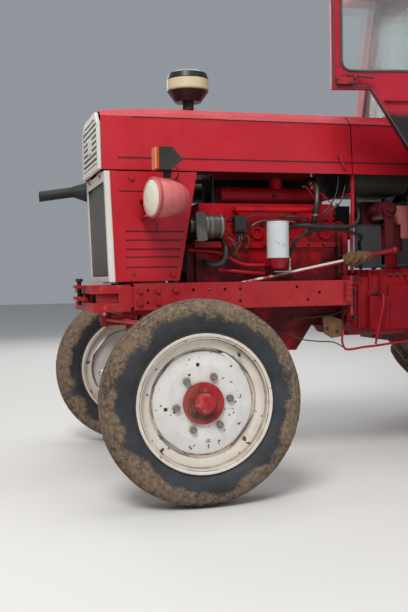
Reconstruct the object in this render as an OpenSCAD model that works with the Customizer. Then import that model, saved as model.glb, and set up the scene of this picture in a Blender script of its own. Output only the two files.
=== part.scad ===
// Vintage two-wheel-drive farm tractor with a cab, +X forward, +Y to its left, +Z up.
// Every module is drawn from the front axle line; place() then centres the whole on the origin.

/* [Chassis] */
// Distance between the front and the rear axle lines
wheelbase = 2400; // [2300:10:2480]
// Distance between the middle planes of the front tyres
front_track = 1500; // [1440:10:1600]
// Distance between the middle planes of the rear tyres
rear_track = 1500; // [1480:10:1600]
// Height of the frame rails
rail_h = 119; // [100:1:130]
// Underside of the frame rails above the ground
rail_z = 762; // [750:1:775]
// Distance from the middle plane to the outer face of a rail
rail_y = 300; // [298:1:320]
// Thickness of the web of a rail
rail_web = 8; // [5:1:10]
// Width of the flanges of a rail
rail_flange = 38; // [30:1:40]
// Diameter of the mounting holes in the rails
rail_hole_d = 14; // [10:1:18]
// Length between the two pairs of mounting holes
rail_mount_l = 430; // [400:10:440]
// Height between the two rows of mounting holes
rail_mount_h = 54; // [40:1:60]

/* [Front wheels] */
// Outer diameter of a front tyre
front_tyre_d = 820; // [780:2:840]
// Width of a front tyre
front_tyre_w = 175; // [150:1:190]
// Outer diameter of a front rim flange
front_rim_d = 552; // [530:1:570]
// Width across a front rim
front_rim_w = 140; // [120:1:145]
// Diameter of the disc of a front wheel
front_disc_d = 436; // [420:1:450]
// Number of bolts that hold a front disc
front_bolts = 6; // [5:1:8]
// Pitch circle of those bolts
front_bolt_circle = 222; // [200:1:240]
// Distance from the middle plane to a kingpin
kingpin_y = 600; // [580:1:610]
// Diameter of a kingpin
kingpin_d = 40; // [30:1:50]
// Diameter of a front wheel spindle
spindle_d = 50; // [40:1:60]

/* [Rear wheels] */
// Outer diameter of a rear tyre over its lugs
rear_tyre_d = 1580; // [1540:2:1600]
// Width of a rear tyre
rear_tyre_w = 370; // [330:1:380]
// Outer diameter of a rear rim flange
rear_rim_d = 1018; // [1000:1:1040]
// Width across a rear rim
rear_rim_w = 330; // [300:1:340]
// Number of lugs on each side of a rear tyre
lug_pairs = 22; // [18:1:24]
// Height of a lug above the tread
lug_h = 36; // [20:1:45]
// Pitch circle of the rear wheel studs
rear_bolt_circle = 275; // [250:1:300]
// Number of the rear wheel studs
rear_bolts = 8; // [6:1:10]
// Diameter of a rear axle stub
axle_stub_d = 70; // [55:1:85]

/* [Steering] */
// Length of the knuckle arms and of the lever that drives them
knuckle_arm = 160; // [150:1:165]
// Height of the tie rods above the ground
tie_rod_z = 700; // [698:1:702]
// Diameter of the tie rods
tie_rod_d = 26; // [20:1:30]
// Length of the upper arm of the steering lever
lever_arm = 215; // [212:1:222]
// Length of the drop arm
drop_arm = 200; // [190:1:205]
// Diameter of the drag link
drag_link_d = 22; // [18:1:24]
// Diameter of the steering wheel
steering_wheel_d = 430; // [380:5:450]

/* [Hood] */
// Underside of the hood above the ground
hood_z = 1385; // [1380:1:1395]
// Height of the hood from its underside to its crown
hood_h = 303; // [290:1:320]
// Width of the hood along its underside
hood_w = 510; // [490:1:516]
// Width of the hood across its top
hood_top_w = 400; // [370:1:420]
// Thickness of the hood and cowl sheet
hood_t = 4; // [3:0.5:6]
// Front face of the hood ahead of the front axle
hood_front = 296; // [290:1:300]
// Seam between the hood and the cowl, behind the front axle
hood_seam = 905; // [880:5:915]
// Height of the grooves pressed into the hood
groove_h = 14; // [8:1:18]
// Outer diameter of the precleaner bowl
precleaner_d = 200; // [160:2:220]
// Height of the top of the precleaner above the ground
precleaner_z = 1892; // [1850:2:1940]

/* [Nose] */
// Width of the white surround of the lower grille
nose_w = 540; // [530:1:546]
// Underside of the lower grille above the ground
nose_z = 888; // [884:1:900]
// Number of horizontal slats in the upper grille
slat_count = 8; // [6:1:10]
// Number of upright bars in the lower grille
bar_count = 19; // [11:2:25]
// Diameter of a headlight bowl
headlight_d = 172; // [150:1:180]
// Distance from the middle plane to a headlight
headlight_y = 460; // [458:1:480]
// Height of the headlights above the ground
headlight_z = 1243; // [1220:1:1260]

/* [Engine] */
// Width of the engine block
engine_w = 330; // [300:2:336]
// Rear face of the engine behind the front axle
engine_rear = 880; // [876:1:890]
// Diameter of the fan
fan_d = 400; // [340:5:420]
// Diameter of the muffler
muffler_d = 108; // [100:1:110]
// Diameter of the tailpipe
tailpipe_d = 52; // [44:1:60]

/* [Cab] */
// Outer width of the cab body
cab_w = 1170; // [1160:2:1176]
// Underside of the cab roof above the ground
roof_z = 2470; // [2450:5:2500]
// Height of the roof panel
roof_h = 92; // [70:1:110]
// Rear face of the cab behind the front axle
cab_rear = 2400; // [2380:5:2420]
// Thickness of the cab walls
wall_t = 32; // [26:1:36]
// Width of a door from its hinge to its free edge
door_w = 720; // [700:5:730]
// Thickness of a door
door_t = 25; // [20:1:28]
// Angle from closed at which the left door stands open
door_open = 190; // [120:5:192]
// Radius of the corners of the door windows
window_r = 50; // [20:2:60]
// Thickness of the window glass
glass_t = 5; // [4:0.5:6]
// Outer radius of the rear mudguards round the rear axle
fender_r = 842; // [838:1:850]
// Thickness of the mudguard sheet
fender_t = 4; // [3:0.5:6]
// Height of the floor of the cab
floor_z = 950; // [945:1:960]

/* [Hitch] */
// Length of a lower link between its ball centres
lower_link = 840; // [800:5:860]
// Length of a lift arm
lift_arm = 320; // [310:1:330]
// Diameter of the bore of a lower link ball
link_bore = 28.7; // [25:0.1:30]
// Width of the lower link balls
link_ball_w = 45; // [40:1:50]
// Distance between the middles of the lower link balls
link_span = 825; // [780:5:870]
// Diameter of the drawbar hole
drawbar_hole = 33; // [25:1:36]
// Diameter of the power take-off shaft
pto_d = 35; // [30:1:40]

/* [Hidden] */
// Fineness of round pieces
$fn = 48;
// Running clearance round a pin or shaft
pin_gap = 0.3;
// Axle heights
front_z = front_tyre_d / 2;
rear_z = rear_tyre_d / 2;
rear_x = -wheelbase;
// Foremost and rearmost points, which set where the origin lies
exhaust_tip = 516;
link_pivot_x = rear_x - 30;
link_eye_r = 34;
link_drop = 124;
link_root_y = 240;
link_splay = link_span / 2 - link_root_y;
link_run = sqrt(pow(lower_link, 2) - pow(link_drop, 2) - pow(link_splay, 2));
rear_tip = link_pivot_x - link_run - link_eye_r;
origin_shift = -(exhaust_tip + rear_tip) / 2;

// Shared shapes

// Moves a piece from the front axle line to the common origin
module place() translate([origin_shift, 0, 0]) children();

// A piece and its mirror image on the other side
module both() {
    children();
    mirror([0, 1, 0]) children();
}

// The left piece for side 1, its mirror image for side -1
module on_side(side) {
    if (side > 0) children();
    else mirror([0, 1, 0]) children();
}

// Round bar between two points
module rod(p, q, d) {
    v = q - p;
    translate(p)
        rotate([0, acos(v.z / norm(v)), atan2(v.y, v.x)])
            cylinder(h = norm(v), d = d);
}

// Cylinder along X, Y or Z between two stations
module bar_x(x0, x1, y, z, d) translate([x0, y, z]) rotate([0, 90, 0]) cylinder(h = x1 - x0, d = d);
module bar_y(x, y0, y1, z, d) translate([x, y1, z]) rotate([90, 0, 0]) cylinder(h = y1 - y0, d = d);
module bar_z(x, y, z0, z1, d) translate([x, y, z0]) cylinder(h = z1 - z0, d = d);

// Block between two opposite corners
module block(p, q) translate(p) cube(q - p);

// Plate drawn in side view, points (x, z), from y0 to y1
module side_plate(points, y0, y1) {
    translate([0, y1, 0]) rotate([90, 0, 0]) linear_extrude(y1 - y0) polygon(points);
}

// Plate drawn in front view, points (y, z), from x0 to x1
module front_plate(points, x0, x1) {
    translate([x0, 0, 0]) rotate([90, 0, 90]) linear_extrude(x1 - x0) polygon(points);
}

// Ring or disc turned about an axis along Y, profile points (radius, y)
module turned_y(points) rotate([-90, 0, 0]) rotate_extrude($fn = 72) polygon(points);

// Outline whose corners are rounded to radius r in n steps
function soft_outline(p, r, n = 4) = [
    for (i = [0:len(p) - 1])
        let (a = p[(i + len(p) - 1) % len(p)] - p[i], b = p[(i + 1) % len(p)] - p[i],
             ua = a / norm(a), ub = b / norm(b), half = acos(ua * ub) / 2,
             mid = (ua + ub) / norm(ua + ub), centre = p[i] + mid * r / sin(half),
             da = p[i] + ua * r / tan(half) - centre, db = p[i] + ub * r / tan(half) - centre,
             turn = 180 - 2 * half)
            for (k = [0:n]) centre + (da * sin(turn * (1 - k / n)) + db * sin(turn * k / n)) / sin(turn)];
function rounded(x0, z0, x1, z1, r, n = 4) = soft_outline([[x1, z1], [x0, z1], [x0, z0], [x1, z0]], r, n);

// Smooth curve through the points of a route
function curve(p, steps = 3) = [
    for (i = [0:len(p) - 2])
        let (a = p[max(i - 1, 0)], b = p[i], c = p[i + 1], d = p[min(i + 2, len(p) - 1)])
            for (k = [0:(i == len(p) - 2 ? steps : steps - 1)])
                let (t = k / steps)
                    (2 * b + (c - a) * t + (2 * a - 5 * b + 4 * c - d) * t * t
                     + (3 * b - a - 3 * c + d) * t * t * t) / 2];

// Round hose that follows a route, with eight sides
module hose(route, d) {
    p = curve(route);
    n = len(p);
    sides = 8;
    up = [0.37, 0.21, 0.9];
    rings = [for (i = [0:n - 1])
        let (t = i == 0 ? route[1] - route[0]
                 : i == n - 1 ? route[len(route) - 1] - route[len(route) - 2]
                 : p[i + 1] - p[i - 1],
             u = cross(t, up) / norm(cross(t, up)),
             w = cross(u, t) / norm(t))
            for (k = [0:sides - 1]) p[i] + d / 2 * (u * cos(360 * k / sides) + w * sin(360 * k / sides))];
    walls = [for (i = [0:n - 2]) for (k = [0:sides - 1])
        [i * sides + k, i * sides + (k + 1) % sides, (i + 1) * sides + (k + 1) % sides, (i + 1) * sides + k]];
    first = [[for (k = [sides - 1:-1:0]) k]];
    last = [[for (k = [0:sides - 1]) (n - 1) * sides + k]];
    polyhedron(points = rings, faces = concat(walls, first, last), convexity = 6);
}

// Chassis

cheek_front = 185;
// Pivot of the steering lever, and how far it turns for each degree of the front wheels
lever_x = 50;
lever_ratio = 0.8;
lever_front = knuckle_arm / lever_ratio;
support_front = 354;
plate_z = 735;
plate_t = 22;
axle_pin_z = 600;
rail_top = rail_z + rail_h;
mount_x = 110;
mount_top = rail_z + 86;

module rail_holes(x_list, z, d) {
    for (x = x_list) bar_y(x, rail_y - 60, rail_y + 10, z, d);
}

module frame_rails() {
    rail_rear = -(engine_rear - 12);
    color("#c2243c") both() difference() {
        union() {
            block([rail_rear, rail_y - rail_web, rail_z], [172, rail_y, rail_top]);
            for (z = [rail_z, rail_top - rail_web])
                block([rail_rear, rail_y - rail_flange, z], [172, rail_y, z + rail_web]);
            block([-engine_rear, 200, rail_z - 50], [rail_rear, rail_y, rail_top + 20]);
        }
        for (z = [mount_top, mount_top - rail_mount_h])
            rail_holes([mount_x, mount_x - rail_mount_l], z, rail_hole_d);
        rail_holes([-99, -174, -247], mount_top, rail_hole_d);
        for (p = [[-597, 91], [-652, 31], [-710, 63]]) rail_holes([p[0]], rail_z + p[1], rail_hole_d);
    }
    color("#8d8a86") both() for (p = [[146, 0], [66, 0], [-15, 0], [146, 1], [66, 1]])
        bar_y(p[0], rail_y, rail_y + 12, mount_top - p[1] * rail_mount_h, 24, $fn = 6);
}

tow_pin_x = 372;
tow_pin_d = 20;
casting_top = 876;

// Nose casting with its two cheeks between the rails, the pivot plate bolted below it, and the axle pin's bracket
module front_support() {
    inner = rail_y - rail_web;
    web = inner - 18;
    base = plate_z + plate_t + 0.3;
    color("#b8283c") difference() {
        union() {
            block([cheek_front, -inner, base], [240, inner, casting_top]);
            block([240, -inner, 838], [support_front, inner, casting_top]);
            block([240, -inner, base], [support_front, inner, 797]);
            for (y = [-web, -120, 100, web - 20])
                block([238, y, 790], [support_front - 20, y + 20, 845]);
            tow_lugs();
        }
        bar_z(tow_pin_x, 0, 700, 920, tow_pin_d + 1);
        both() bar_x(230, 400, 180, 813, 26);
    }
    color("#b8283c") both() block([-40, inner - 20, rail_z + 14], [cheek_front - 0.3, inner, rail_top - 14]);
    color("#b8283c") difference() {
        union() {
            block([-110, -150, plate_z], [cheek_front + 15, 150, plate_z + plate_t]);
            bar_z(lever_x, 0, plate_z, 761, 110);
        }
        bar_z(lever_x, 0, 700, 800, 50 + 2 * pin_gap);
    }
    color("#a8382c") union() {
        difference() {
            for (x = [-90, 56]) pivot_ear(x);
            block([50, -58, axle_pin_z + 68], [96, 58, plate_z]);
        }
        bar_x(-96, 96, 0, axle_pin_z, 50);
    }
    color("#5a5652") {
        bar_z(tow_pin_x, 0, 783, 906, tow_pin_d);
        bar_z(tow_pin_x, 0, 892, 906, 34);
    }
}

module pivot_ear(x) {
    front_plate([[-60, axle_pin_z], [-42, axle_pin_z - 42], [0, axle_pin_z - 60], [42, axle_pin_z - 42],
                 [60, axle_pin_z], [105, plate_z - 0.3], [-105, plate_z - 0.3]], x, x + 34);
}

module tow_lugs() {
    block([support_front - 5, -45, 862], [396, 45, casting_top]);
    side_plate([[support_front - 40, 790], [support_front - 5, 802], [390, 806], [396, 812], [396, 824],
                [support_front - 5, 822], [support_front - 40, 812]], -45, 45);
}

module front_axle() {
    beam_end = kingpin_y - 34;
    color("#b8283c") difference() {
        union() {
            side_plate([[-45, 560], [45, 560], [45, 640], [-45, 640]], -beam_end, beam_end);
            bar_x(-45, 45, 0, axle_pin_z, 130);
            both() bar_z(0, kingpin_y, 500, 680, kingpin_d + 44);
            both() front_plate([[440, 545], [beam_end + 10, 520], [beam_end + 10, 665], [440, 655]], -30, 30);
        }
        bar_x(-60, 60, 0, axle_pin_z, 50 + 2 * pin_gap);
        both() bar_z(0, kingpin_y, 480, 700, kingpin_d + 2 * pin_gap);
    }
}

module knuckle(side) {
    spindle_end = front_track / 2 + 28;
    arm_t = 18;
    color("#a8263a") on_side(side) {
        bar_z(0, kingpin_y, 440, tie_rod_z + 6, kingpin_d);
        bar_z(0, kingpin_y, front_z - 45, 495, kingpin_d + 44);
        bar_y(0, kingpin_y, kingpin_y + 75, front_z, 92);
        bar_y(0, kingpin_y, spindle_end, front_z, spindle_d);
        difference() {
            union() {
                bar_z(0, kingpin_y, 685, 685 + arm_t, kingpin_d + 30);
                block([0, kingpin_y - 22, 685], [knuckle_arm, kingpin_y + 22, 685 + arm_t]);
                bar_z(knuckle_arm, kingpin_y, 685, 685 + arm_t, 46);
            }
            bar_z(knuckle_arm, kingpin_y, 670, 720, 18);
        }
    }
}

// Wheels

rib_w = 22;

module front_tyre(side) {
    r = front_tyre_d / 2;
    h = front_tyre_w / 2;
    bead = front_rim_d / 2 - 15.6;
    half_rim = front_rim_w / 2 - 10;
    color("#4a4643") on_side(side) translate([0, front_track / 2, front_z]) difference() {
        turned_y([[bead, -half_rim], [bead + 30, -half_rim - 8], [bead + 75, -h], [bead + 95, -h],
                  [r - 26, -h + 14], [r - 10, -h + 32], [r, -rib_w], [r, rib_w], [r - 10, h - 32],
                  [r - 26, h - 14], [bead + 95, h], [bead + 75, h], [bead + 30, half_rim + 8],
                  [bead, half_rim], [bead, half_rim - 20], [bead + 25, 30], [bead + 25, -30],
                  [bead, 20 - half_rim]]);
        for (y = [-rib_w - 14, rib_w, -6])
            turned_y([[r - 14, y], [r + 5, y], [r + 5, y + 12], [r - 14, y + 12]]);
    }
}

module front_rim(side) {
    r = front_rim_d / 2;
    h = front_rim_w / 2;
    well = front_disc_d / 2;
    disc_y = 22;
    color("#e6e4dc") on_side(side) translate([0, front_track / 2, front_z]) {
        turned_y([[r, -h], [r, -h + 5], [r - 16, -h + 8], [r - 16, -h + 32], [well + 6, -h + 38],
                  [well + 6, h - 38], [r - 16, h - 32], [r - 16, h - 8], [r, h - 5], [r, h],
                  [r - 5, h], [r - 21, h - 5], [r - 21, h - 28], [well, h - 35], [well, -h + 35],
                  [r - 21, -h + 28], [r - 21, -h + 5], [r - 5, -h]]);
        difference() {
            translate([0, disc_y, 0]) turned_y([[55, -2], [well + 3, -14], [well + 3, -4], [150, 8], [55, 8]]);
            for (a = [52:90:322]) rotate([0, a, 0]) block([well - 18, -20, -92], [well + 40, 60, 92]);
            for (k = [0:front_bolts - 1]) rotate([0, 360 * k / front_bolts + 7, 0])
                bar_y(front_bolt_circle / 2, -10, 60, 0, 18);
            for (a = [7:90:277]) rotate([0, a, 0]) block([145, -10, -7], [159, 60, 7]);
        }
    }
}

module front_hub(side) {
    disc_face = front_track / 2 + 30;
    seat = disc_face - 15.6;
    cap_y = disc_face + 14;
    color("#b01c34") on_side(side) translate([0, 0, front_z]) {
        difference() {
            union() {
                bar_y(0, kingpin_y + 80, disc_face + 1, 0, 108);
                bar_y(0, disc_face + 0.3, cap_y, 0, 165);
                translate([0, cap_y - 1, 0]) turned_y([[0, 0], [44, 0], [42, 26], [30, 42], [0, 48]]);
                for (a = [30:120:270]) rotate([0, a, 0]) {
                    bar_y(52, cap_y - 2, cap_y + 10, 0, 36);
                    block([20, cap_y - 3, -18], [52, cap_y + 9, 18]);
                    bar_y(52, cap_y + 8, cap_y + 19, 0, 19, $fn = 6);
                }
                for (k = [0:front_bolts - 1]) rotate([0, 360 * k / front_bolts + 7, 0]) {
                    block([40, seat - 10, -17], [front_bolt_circle / 2, seat - 1, 17]);
                    bar_y(front_bolt_circle / 2, seat - 11, seat, 0, 35);
                    bar_y(front_bolt_circle / 2, seat - 12, disc_face + 1, 0, 17);
                    bar_y(front_bolt_circle / 2, disc_face + 0.3, disc_face + 14, 0, 30, $fn = 6);
                }
            }
            bar_y(0, kingpin_y + 70, disc_face, 0, spindle_d + 2 * pin_gap);
        }
    }
}

// Tread of the rear tyre: columns round it by rows across it, the lugs raised between skewed grooves
module rear_tyre(side) {
    r = rear_tyre_d / 2;
    h = rear_tyre_w / 2;
    bead = rear_rim_d / 2 - 19;
    half_rim = rear_rim_w / 2 - 14;
    skew = 17;
    lug_share = 0.30;
    // Rows across the tyre: share of the half width, groove radius, raised 1 or flat 0, tread side
    rows = [[-0.80, bead + 4, 0, 0], [-0.98, bead + 90, 0, 0], [-1, r - 130, 0, 0], [-0.97, r - 76, 0, 0],
            [-0.90, r - lug_h - 16, 1, -1], [-0.55, r - lug_h - 4, 1, -1], [-0.08, r - lug_h, 1, -1],
            [0, r - lug_h, 0, 0], [0.08, r - lug_h, 1, 1], [0.55, r - lug_h - 4, 1, 1],
            [0.90, r - lug_h - 16, 1, 1], [0.97, r - 76, 0, 0], [1, r - 130, 0, 0],
            [0.98, bead + 90, 0, 0], [0.80, bead + 4, 0, 0]];
    bead_rows = [[half_rim, bead + 0.4], [-half_rim, bead + 0.4]];
    n = len(rows);
    all_rows = n + len(bead_rows);
    columns = 4 * lug_pairs;
    function share(k) = floor(k / 4) + [0, lug_share, 0.5, 0.5 + lug_share][k % 4];
    function raised(k, tread) = (tread < 0 ? k % 4 < 2 : k % 4 > 1) ? 1 : 0;
    function lug_top(q) = abs(q[0]) > 0.8 ? lug_h + 8 : abs(q[0]) > 0.3 ? lug_h + 3 : lug_h;
    function lift(q, k) = q[2] * raised(k, q[3]) * lug_top(q);
    points = [for (k = [0:columns - 1]) each concat(
        [for (q = rows)
            let (a = 360 * share(k) / lug_pairs + skew * abs(q[0]) - 90, radius = q[1] + lift(q, k))
                [radius * cos(a), q[0] * h, radius * sin(a)]],
        [for (b = bead_rows)
            let (a = 360 * share(k) / lug_pairs + skew * 0.8 - 90) [b[1] * cos(a), b[0], b[1] * sin(a)]])];
    faces = [for (k = [0:columns - 1]) for (i = [0:all_rows - 1])
        let (m = (k + 1) % columns, j = (i + 1) % all_rows)
            each [[k * all_rows + i, k * all_rows + j, m * all_rows + j],
                  [k * all_rows + i, m * all_rows + j, m * all_rows + i]]];
    color("#4a4643") on_side(side) translate([rear_x, rear_track / 2, rear_z])
        polyhedron(points = points, faces = faces, convexity = 10);
}

module rear_rim(side) {
    r = rear_rim_d / 2;
    h = rear_rim_w / 2;
    well = r - 50;
    disc_y = -40;
    hub_y = -105;
    color("#e6e4dc") on_side(side) translate([rear_x, rear_track / 2, rear_z]) difference() {
        union() {
            turned_y([[r, -h], [r, -h + 6], [r - 20, -h + 9], [r - 20, -h + 60], [well + 6, -h + 85],
                      [well + 6, h - 85], [r - 20, h - 60], [r - 20, h - 9], [r, h - 6], [r, h],
                      [r - 6, h], [r - 26, h - 6], [r - 26, h - 57], [well, h - 82], [well, -h + 82],
                      [r - 26, -h + 57], [r - 26, -h + 6], [r - 6, -h]]);
            translate([0, disc_y, 0])
                turned_y([[40, 0], [170, 0], [260, -24], [well + 1, 6], [well + 1, 16], [260, -14],
                          [170, 10], [40, 10]]);
            translate([0, hub_y, 0]) turned_y([[36, 0], [80, 0], [90, 40], [170, 50], [170, 66], [36, 66]]);
            translate([0, disc_y + 9, 0]) turned_y([[0, 0], [95, 0], [88, 40], [60, 56], [0, 60]]);
        }
        bar_y(0, hub_y - 10, disc_y + 12, 0, axle_stub_d + 2 * pin_gap);
    }
    color("#8d8a86") on_side(side) translate([rear_x, rear_track / 2, rear_z])
        for (k = [0:rear_bolts - 1]) rotate([0, 360 * k / rear_bolts, 0])
            bar_y(rear_bolt_circle / 2, disc_y + 9, disc_y + 32, 0, 36, $fn = 6);
}

// Steering

link_front = [lever_x, lever_arm, 788];
link_rear = [-1110, link_front.y + 71, 1020];

module steering_lever() {
    arm_t = 16;
    low = tie_rod_z - 15;
    color("#a8263a") {
        bar_z(lever_x, 0, low, 800, 50);
        difference() {
            union() {
                bar_z(lever_x, 0, low, low + arm_t, 84);
                block([lever_x, -22, low], [lever_x + lever_front, 22, low + arm_t]);
                bar_z(lever_x + lever_front, 0, low, low + arm_t, 52);
            }
            bar_z(lever_x + lever_front, 0, low - 10, low + 30, 18);
        }
        bar_z(lever_x, 0, 764, 780, 80);
        block([lever_x - 20, 0, 764], [lever_x + 20, lever_arm, 780]);
        bar_z(lever_x, lever_arm, 764, 780, 44);
    }
}

module tie_rods() {
    x = lever_x + lever_front;
    z = tie_rod_z + 15;
    color("#8a3038") {
        bar_z(x, 0, tie_rod_z + 1.4, tie_rod_z + 28, 60);
        bar_z(x, 0, tie_rod_z - 22, tie_rod_z + 5, 17.4);
        both() {
            rod([x, 15, z], [knuckle_arm, kingpin_y - 10, z], tie_rod_d - 7);
            bar_z(knuckle_arm, kingpin_y, tie_rod_z + 4, tie_rod_z + 27, 44);
        }
    }
}

module drag_link() {
    v = link_rear - link_front;
    dir = v / norm(v);
    color("#9b3038") {
        bar_z(link_front.x, link_front.y, 780.4, 806, 40);
        rod(link_front + [0, 0, 6], link_rear, drag_link_d);
        translate(link_rear) sphere(d = 36);
    }
    color("#b59a76") rod(link_front + dir * (norm(v) - 250), link_front + dir * (norm(v) - 120), 40);
}

module drop_arm_piece() {
    color("#a8263a") difference() {
        union() {
            bar_y(link_rear.x, 220, 246, link_rear.z + drop_arm, 70);
            side_plate([[link_rear.x - 26, link_rear.z + drop_arm], [link_rear.x - 16, link_rear.z],
                        [link_rear.x + 16, link_rear.z], [link_rear.x + 26, link_rear.z + drop_arm]], 222, 236);
            bar_y(link_rear.x, 220, 238, link_rear.z, 40);
        }
        bar_y(link_rear.x, 210, 260, link_rear.z + drop_arm, 36 + 2 * pin_gap);
    }
}

wheel_hub = [-1600, 0, 1600];
column_lean = 45;
box_z = link_rear.z + drop_arm;

module steering_column() {
    color("#c25a62") {
        block([-1230, -70, box_z - 62], [-1050, 60, box_z + 52]);
        bar_y(link_rear.x, 55, 216, box_z, 88);
        bar_y(link_rear.x, 210, 256, box_z, 36);
    }
    color("#8c2a3c") {
        bar_z(-1180, 120, 1020.3, 1150, 110);
        bar_z(-1180, 120, 1145, box_z, 40);
        block([-1200, 40, box_z - 30], [-1160, 120, box_z]);
    }
    color("#3a3838") rod([-1200, 0, 1200], wheel_hub - 56.5 * [-1, 0, 1] / sqrt(2), 46);
}

module steering_wheel() {
    grip = 26;
    color("#1f1f20") translate(wheel_hub) rotate([0, -column_lean, 0]) {
        rotate_extrude($fn = 72) translate([steering_wheel_d / 2 - grip / 2, 0]) circle(d = grip, $fn = 24);
        translate([0, 0, -56]) cylinder(h = 40, d = 90);
        for (a = [90, 210, 330]) rotate([0, 0, a])
            rod([30, 0, -36], [steering_wheel_d / 2 - grip / 2, 0, 0], 14);
    }
}

// Engine

fan_z = 1120;
core_plugs = [-795, -600, -450];
engine_flange = 185;

module engine_block() {
    h = engine_w / 2;
    color("#a3253a") difference() {
        union() {
            block([-engine_rear, -h, 720], [-150, h, 1160]);
            side_plate([[-engine_rear, 660], [-736, 663], [-656, 545], [-220, 545], [-180, 720], [-engine_rear, 720]],
                       -h + 30, h - 30);
            block([-engine_rear + 30, -h + 15, 1150], [-170, h - 15, 1250]);
            block([-150, -h + 20, 700], [-110, h - 20, 1060]);
            block([-850, -h - 16, 1040], [-160, h + 16, 1066]);
            bar_x(-152, -75, 0, fan_z, 110);
            bar_x(-112, -84, 0, 860, 140);
            for (x = core_plugs) bar_y(x, h - 2, h + 12, 1110, 60);
            both() block([-engine_rear, h - 10, 740], [-engine_rear + 24, engine_flange, 1150]);
            bar_x(-747, -326, 222, 1216, 26);
            for (x = [-640, -345]) bar_y(x, h - 20, 222, 1216, 18);
        }
        for (x = core_plugs) bar_y(x, h + 2, h + 20, 1110, 40);
    }
}

module rocker_cover() {
    color("#a3253a") {
        front_plate(rounded(-95, 1250, 95, 1335, 36, 5), -822, -301);
        for (x = [-770, -562, -353]) bar_z(x, 0, 1333, 1347, 30);
        bar_z(-592, 50, 1325, 1380, 64);
    }
}

module oil_filter() {
    h = engine_w / 2;
    color("#a3253a") {
        translate([-505, 300, 940]) cylinder(h = 46, d1 = 62, d2 = 98);
        block([-528, h, 950], [-482, 300, 982]);
    }
    color("#e4e1da") bar_z(-505, 300, 986, 1155, 102);
}

module alternator_starter() {
    h = engine_w / 2;
    color("#9c9890") {
        bar_x(-250, -125, h + 88, 1135, 104);
        bar_x(-125, -100, h + 88, 1135, 60);
        block([-230, h, 1095], [-150, h + 50, 1130]);
    }
    color("#36322f") {
        bar_x(-engine_rear + 24.3, -570, -h - 56, 1058, 76);
        bar_x(-engine_rear + 24.3, -660, -h - 56, 1120, 52);
        block([-engine_rear + 24.3, -h - 72, 1058], [-700, -h - 40, 1120]);
        block([-engine_rear, -h - 97, 1020], [-engine_rear + 26, -engine_flange - 0.3, 1150]);
        block([-372, h, 1112], [-328, h + 60, 1188]);
    }
}

module radiator() {
    color("#3c3a38") difference() {
        block([40, -230, 905], [120, 230, 1370]);
        block([30, -200, 960], [48, 200, 1320]);
        block([112, -200, 960], [130, 200, 1320]);
    }
    color("#3c3a38") for (z = [970:20:1310]) block([38, -200, z], [122, 200, z + 3]);
    color("#2e2c2b") both() block([20, 215, rail_top], [140, rail_y - 32, 905]);
    color("#2e2c2b") both() block([100, 228, 882], [219.7, 250, 1370]);
}

module cooling_fan() {
    color("#c9c3b4") {
        bar_x(-74.7, -40, 0, fan_z, 90);
        for (a = [0:60:300]) rotate_about_fan(a)
            translate([-52, 0, 40]) rotate([0, 0, 28]) translate([-2, -45, 0]) cube([4, 90, fan_d / 2 - 40]);
    }
}

module rotate_about_fan(a) translate([0, 0, fan_z]) rotate([a, 0, 0]) children();

module air_cleaner() {
    color("#2f2e2d") {
        bar_z(-168, 0, 1396, 1600, 180);
        bar_z(-168, 0, 1600, 1640, 56);
        block([-262, -92, 1388], [119, 92, 1396]);
        both() block([40, 60, 1370], [118, 90, 1388]);
        both() block([-262, 60, 1250], [-256, 90, 1388]);
    }
}

// Points of each hose, and its diameter, in the last column
hoses = [
    [[[-180, 165.3, 975], [-180, 185, 975], [-200, 215, 962], [-230, 238, 957], [-264, 242, 978],
      [-275, 235, 1030], [-262, 210, 1080], [-255, 185, 1088], [-255, 165.3, 1088]], 26],
    [[[-535, 181.3, 1053], [-535, 205, 1053], [-545, 222, 1090], [-585, 240, 1130], [-645, 285, 1138],
      [-720, 296, 1132], [-820, 292, 1132], [-900, 286, 1140], [-935, 262, 1190], [-948, 200, 1245],
      [-950, 165, 1285], [-950, 160, 1301.7]], 20],
    [[[-740, 50, 1335.3], [-740, 50, 1352], [-738, 90, 1370], [-735, 165, 1366], [-731, 228, 1325],
      [-722, 256, 1262], [-713, 258, 1205], [-707, 244, 1152], [-705, 212, 1118], [-705, 188, 1112],
      [-705, 165.3, 1112]], 26],
    [[[39.7, -100, 1345], [15, -100, 1345], [-40, -105, 1340], [-95, -110, 1320], [-125, -110, 1270],
      [-145, -110, 1225], [-169.7, -110, 1225]], 44],
    [[[39.7, 110, 935], [15, 110, 935], [-30, 110, 915], [-80, 110, 850], [-109.7, 110, 850]], 44]];

module engine_hoses() {
    color("#232324") for (h = hoses) hose(h[0], h[1]);
}

module exhaust() {
    y = -(nose_w / 2 + panel_t + 12 + muffler_d / 2);
    z = 1345;
    color("#262423") {
        bar_x(-330, 268, y, z, muffler_d);
        translate([268, y, z]) rotate([0, 90, 0]) cylinder(h = 82, d1 = muffler_d - 1, d2 = tailpipe_d + 2);
        translate([-390, y, z]) rotate([0, 90, 0]) cylinder(h = 60, d1 = 64, d2 = muffler_d - 1);
        difference() {
            rod([340, y, z], [exhaust_tip + 30, y, z - 30], tailpipe_d);
            block([exhaust_tip, y - 100, z - 200], [exhaust_tip + 60, y + 100, z + 100]);
            rod([420, y, z - 12], [exhaust_tip + 30, y, z - 30], tailpipe_d - 6);
        }
        rod([-420, -150, 1200], [-420, y + 40, 1200], 60);
        translate([-420, y + 40, 1200]) sphere(d = 64);
        rod([-420, y + 40, 1200], [-420, y, z - 40], 60);
        translate([-420, y, z - 40]) sphere(d = 64);
        rod([-420, y, z - 40], [-380, y, z], 60);
    }
    color("#8a3030") block([-780, -210, 1175], [-200, -150, 1225]);
}

// Drive line

shaft_x = rear_x - 220;
shaft_z = 1080;
// Half width of the clutch housing
housing_half = 230;

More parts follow.
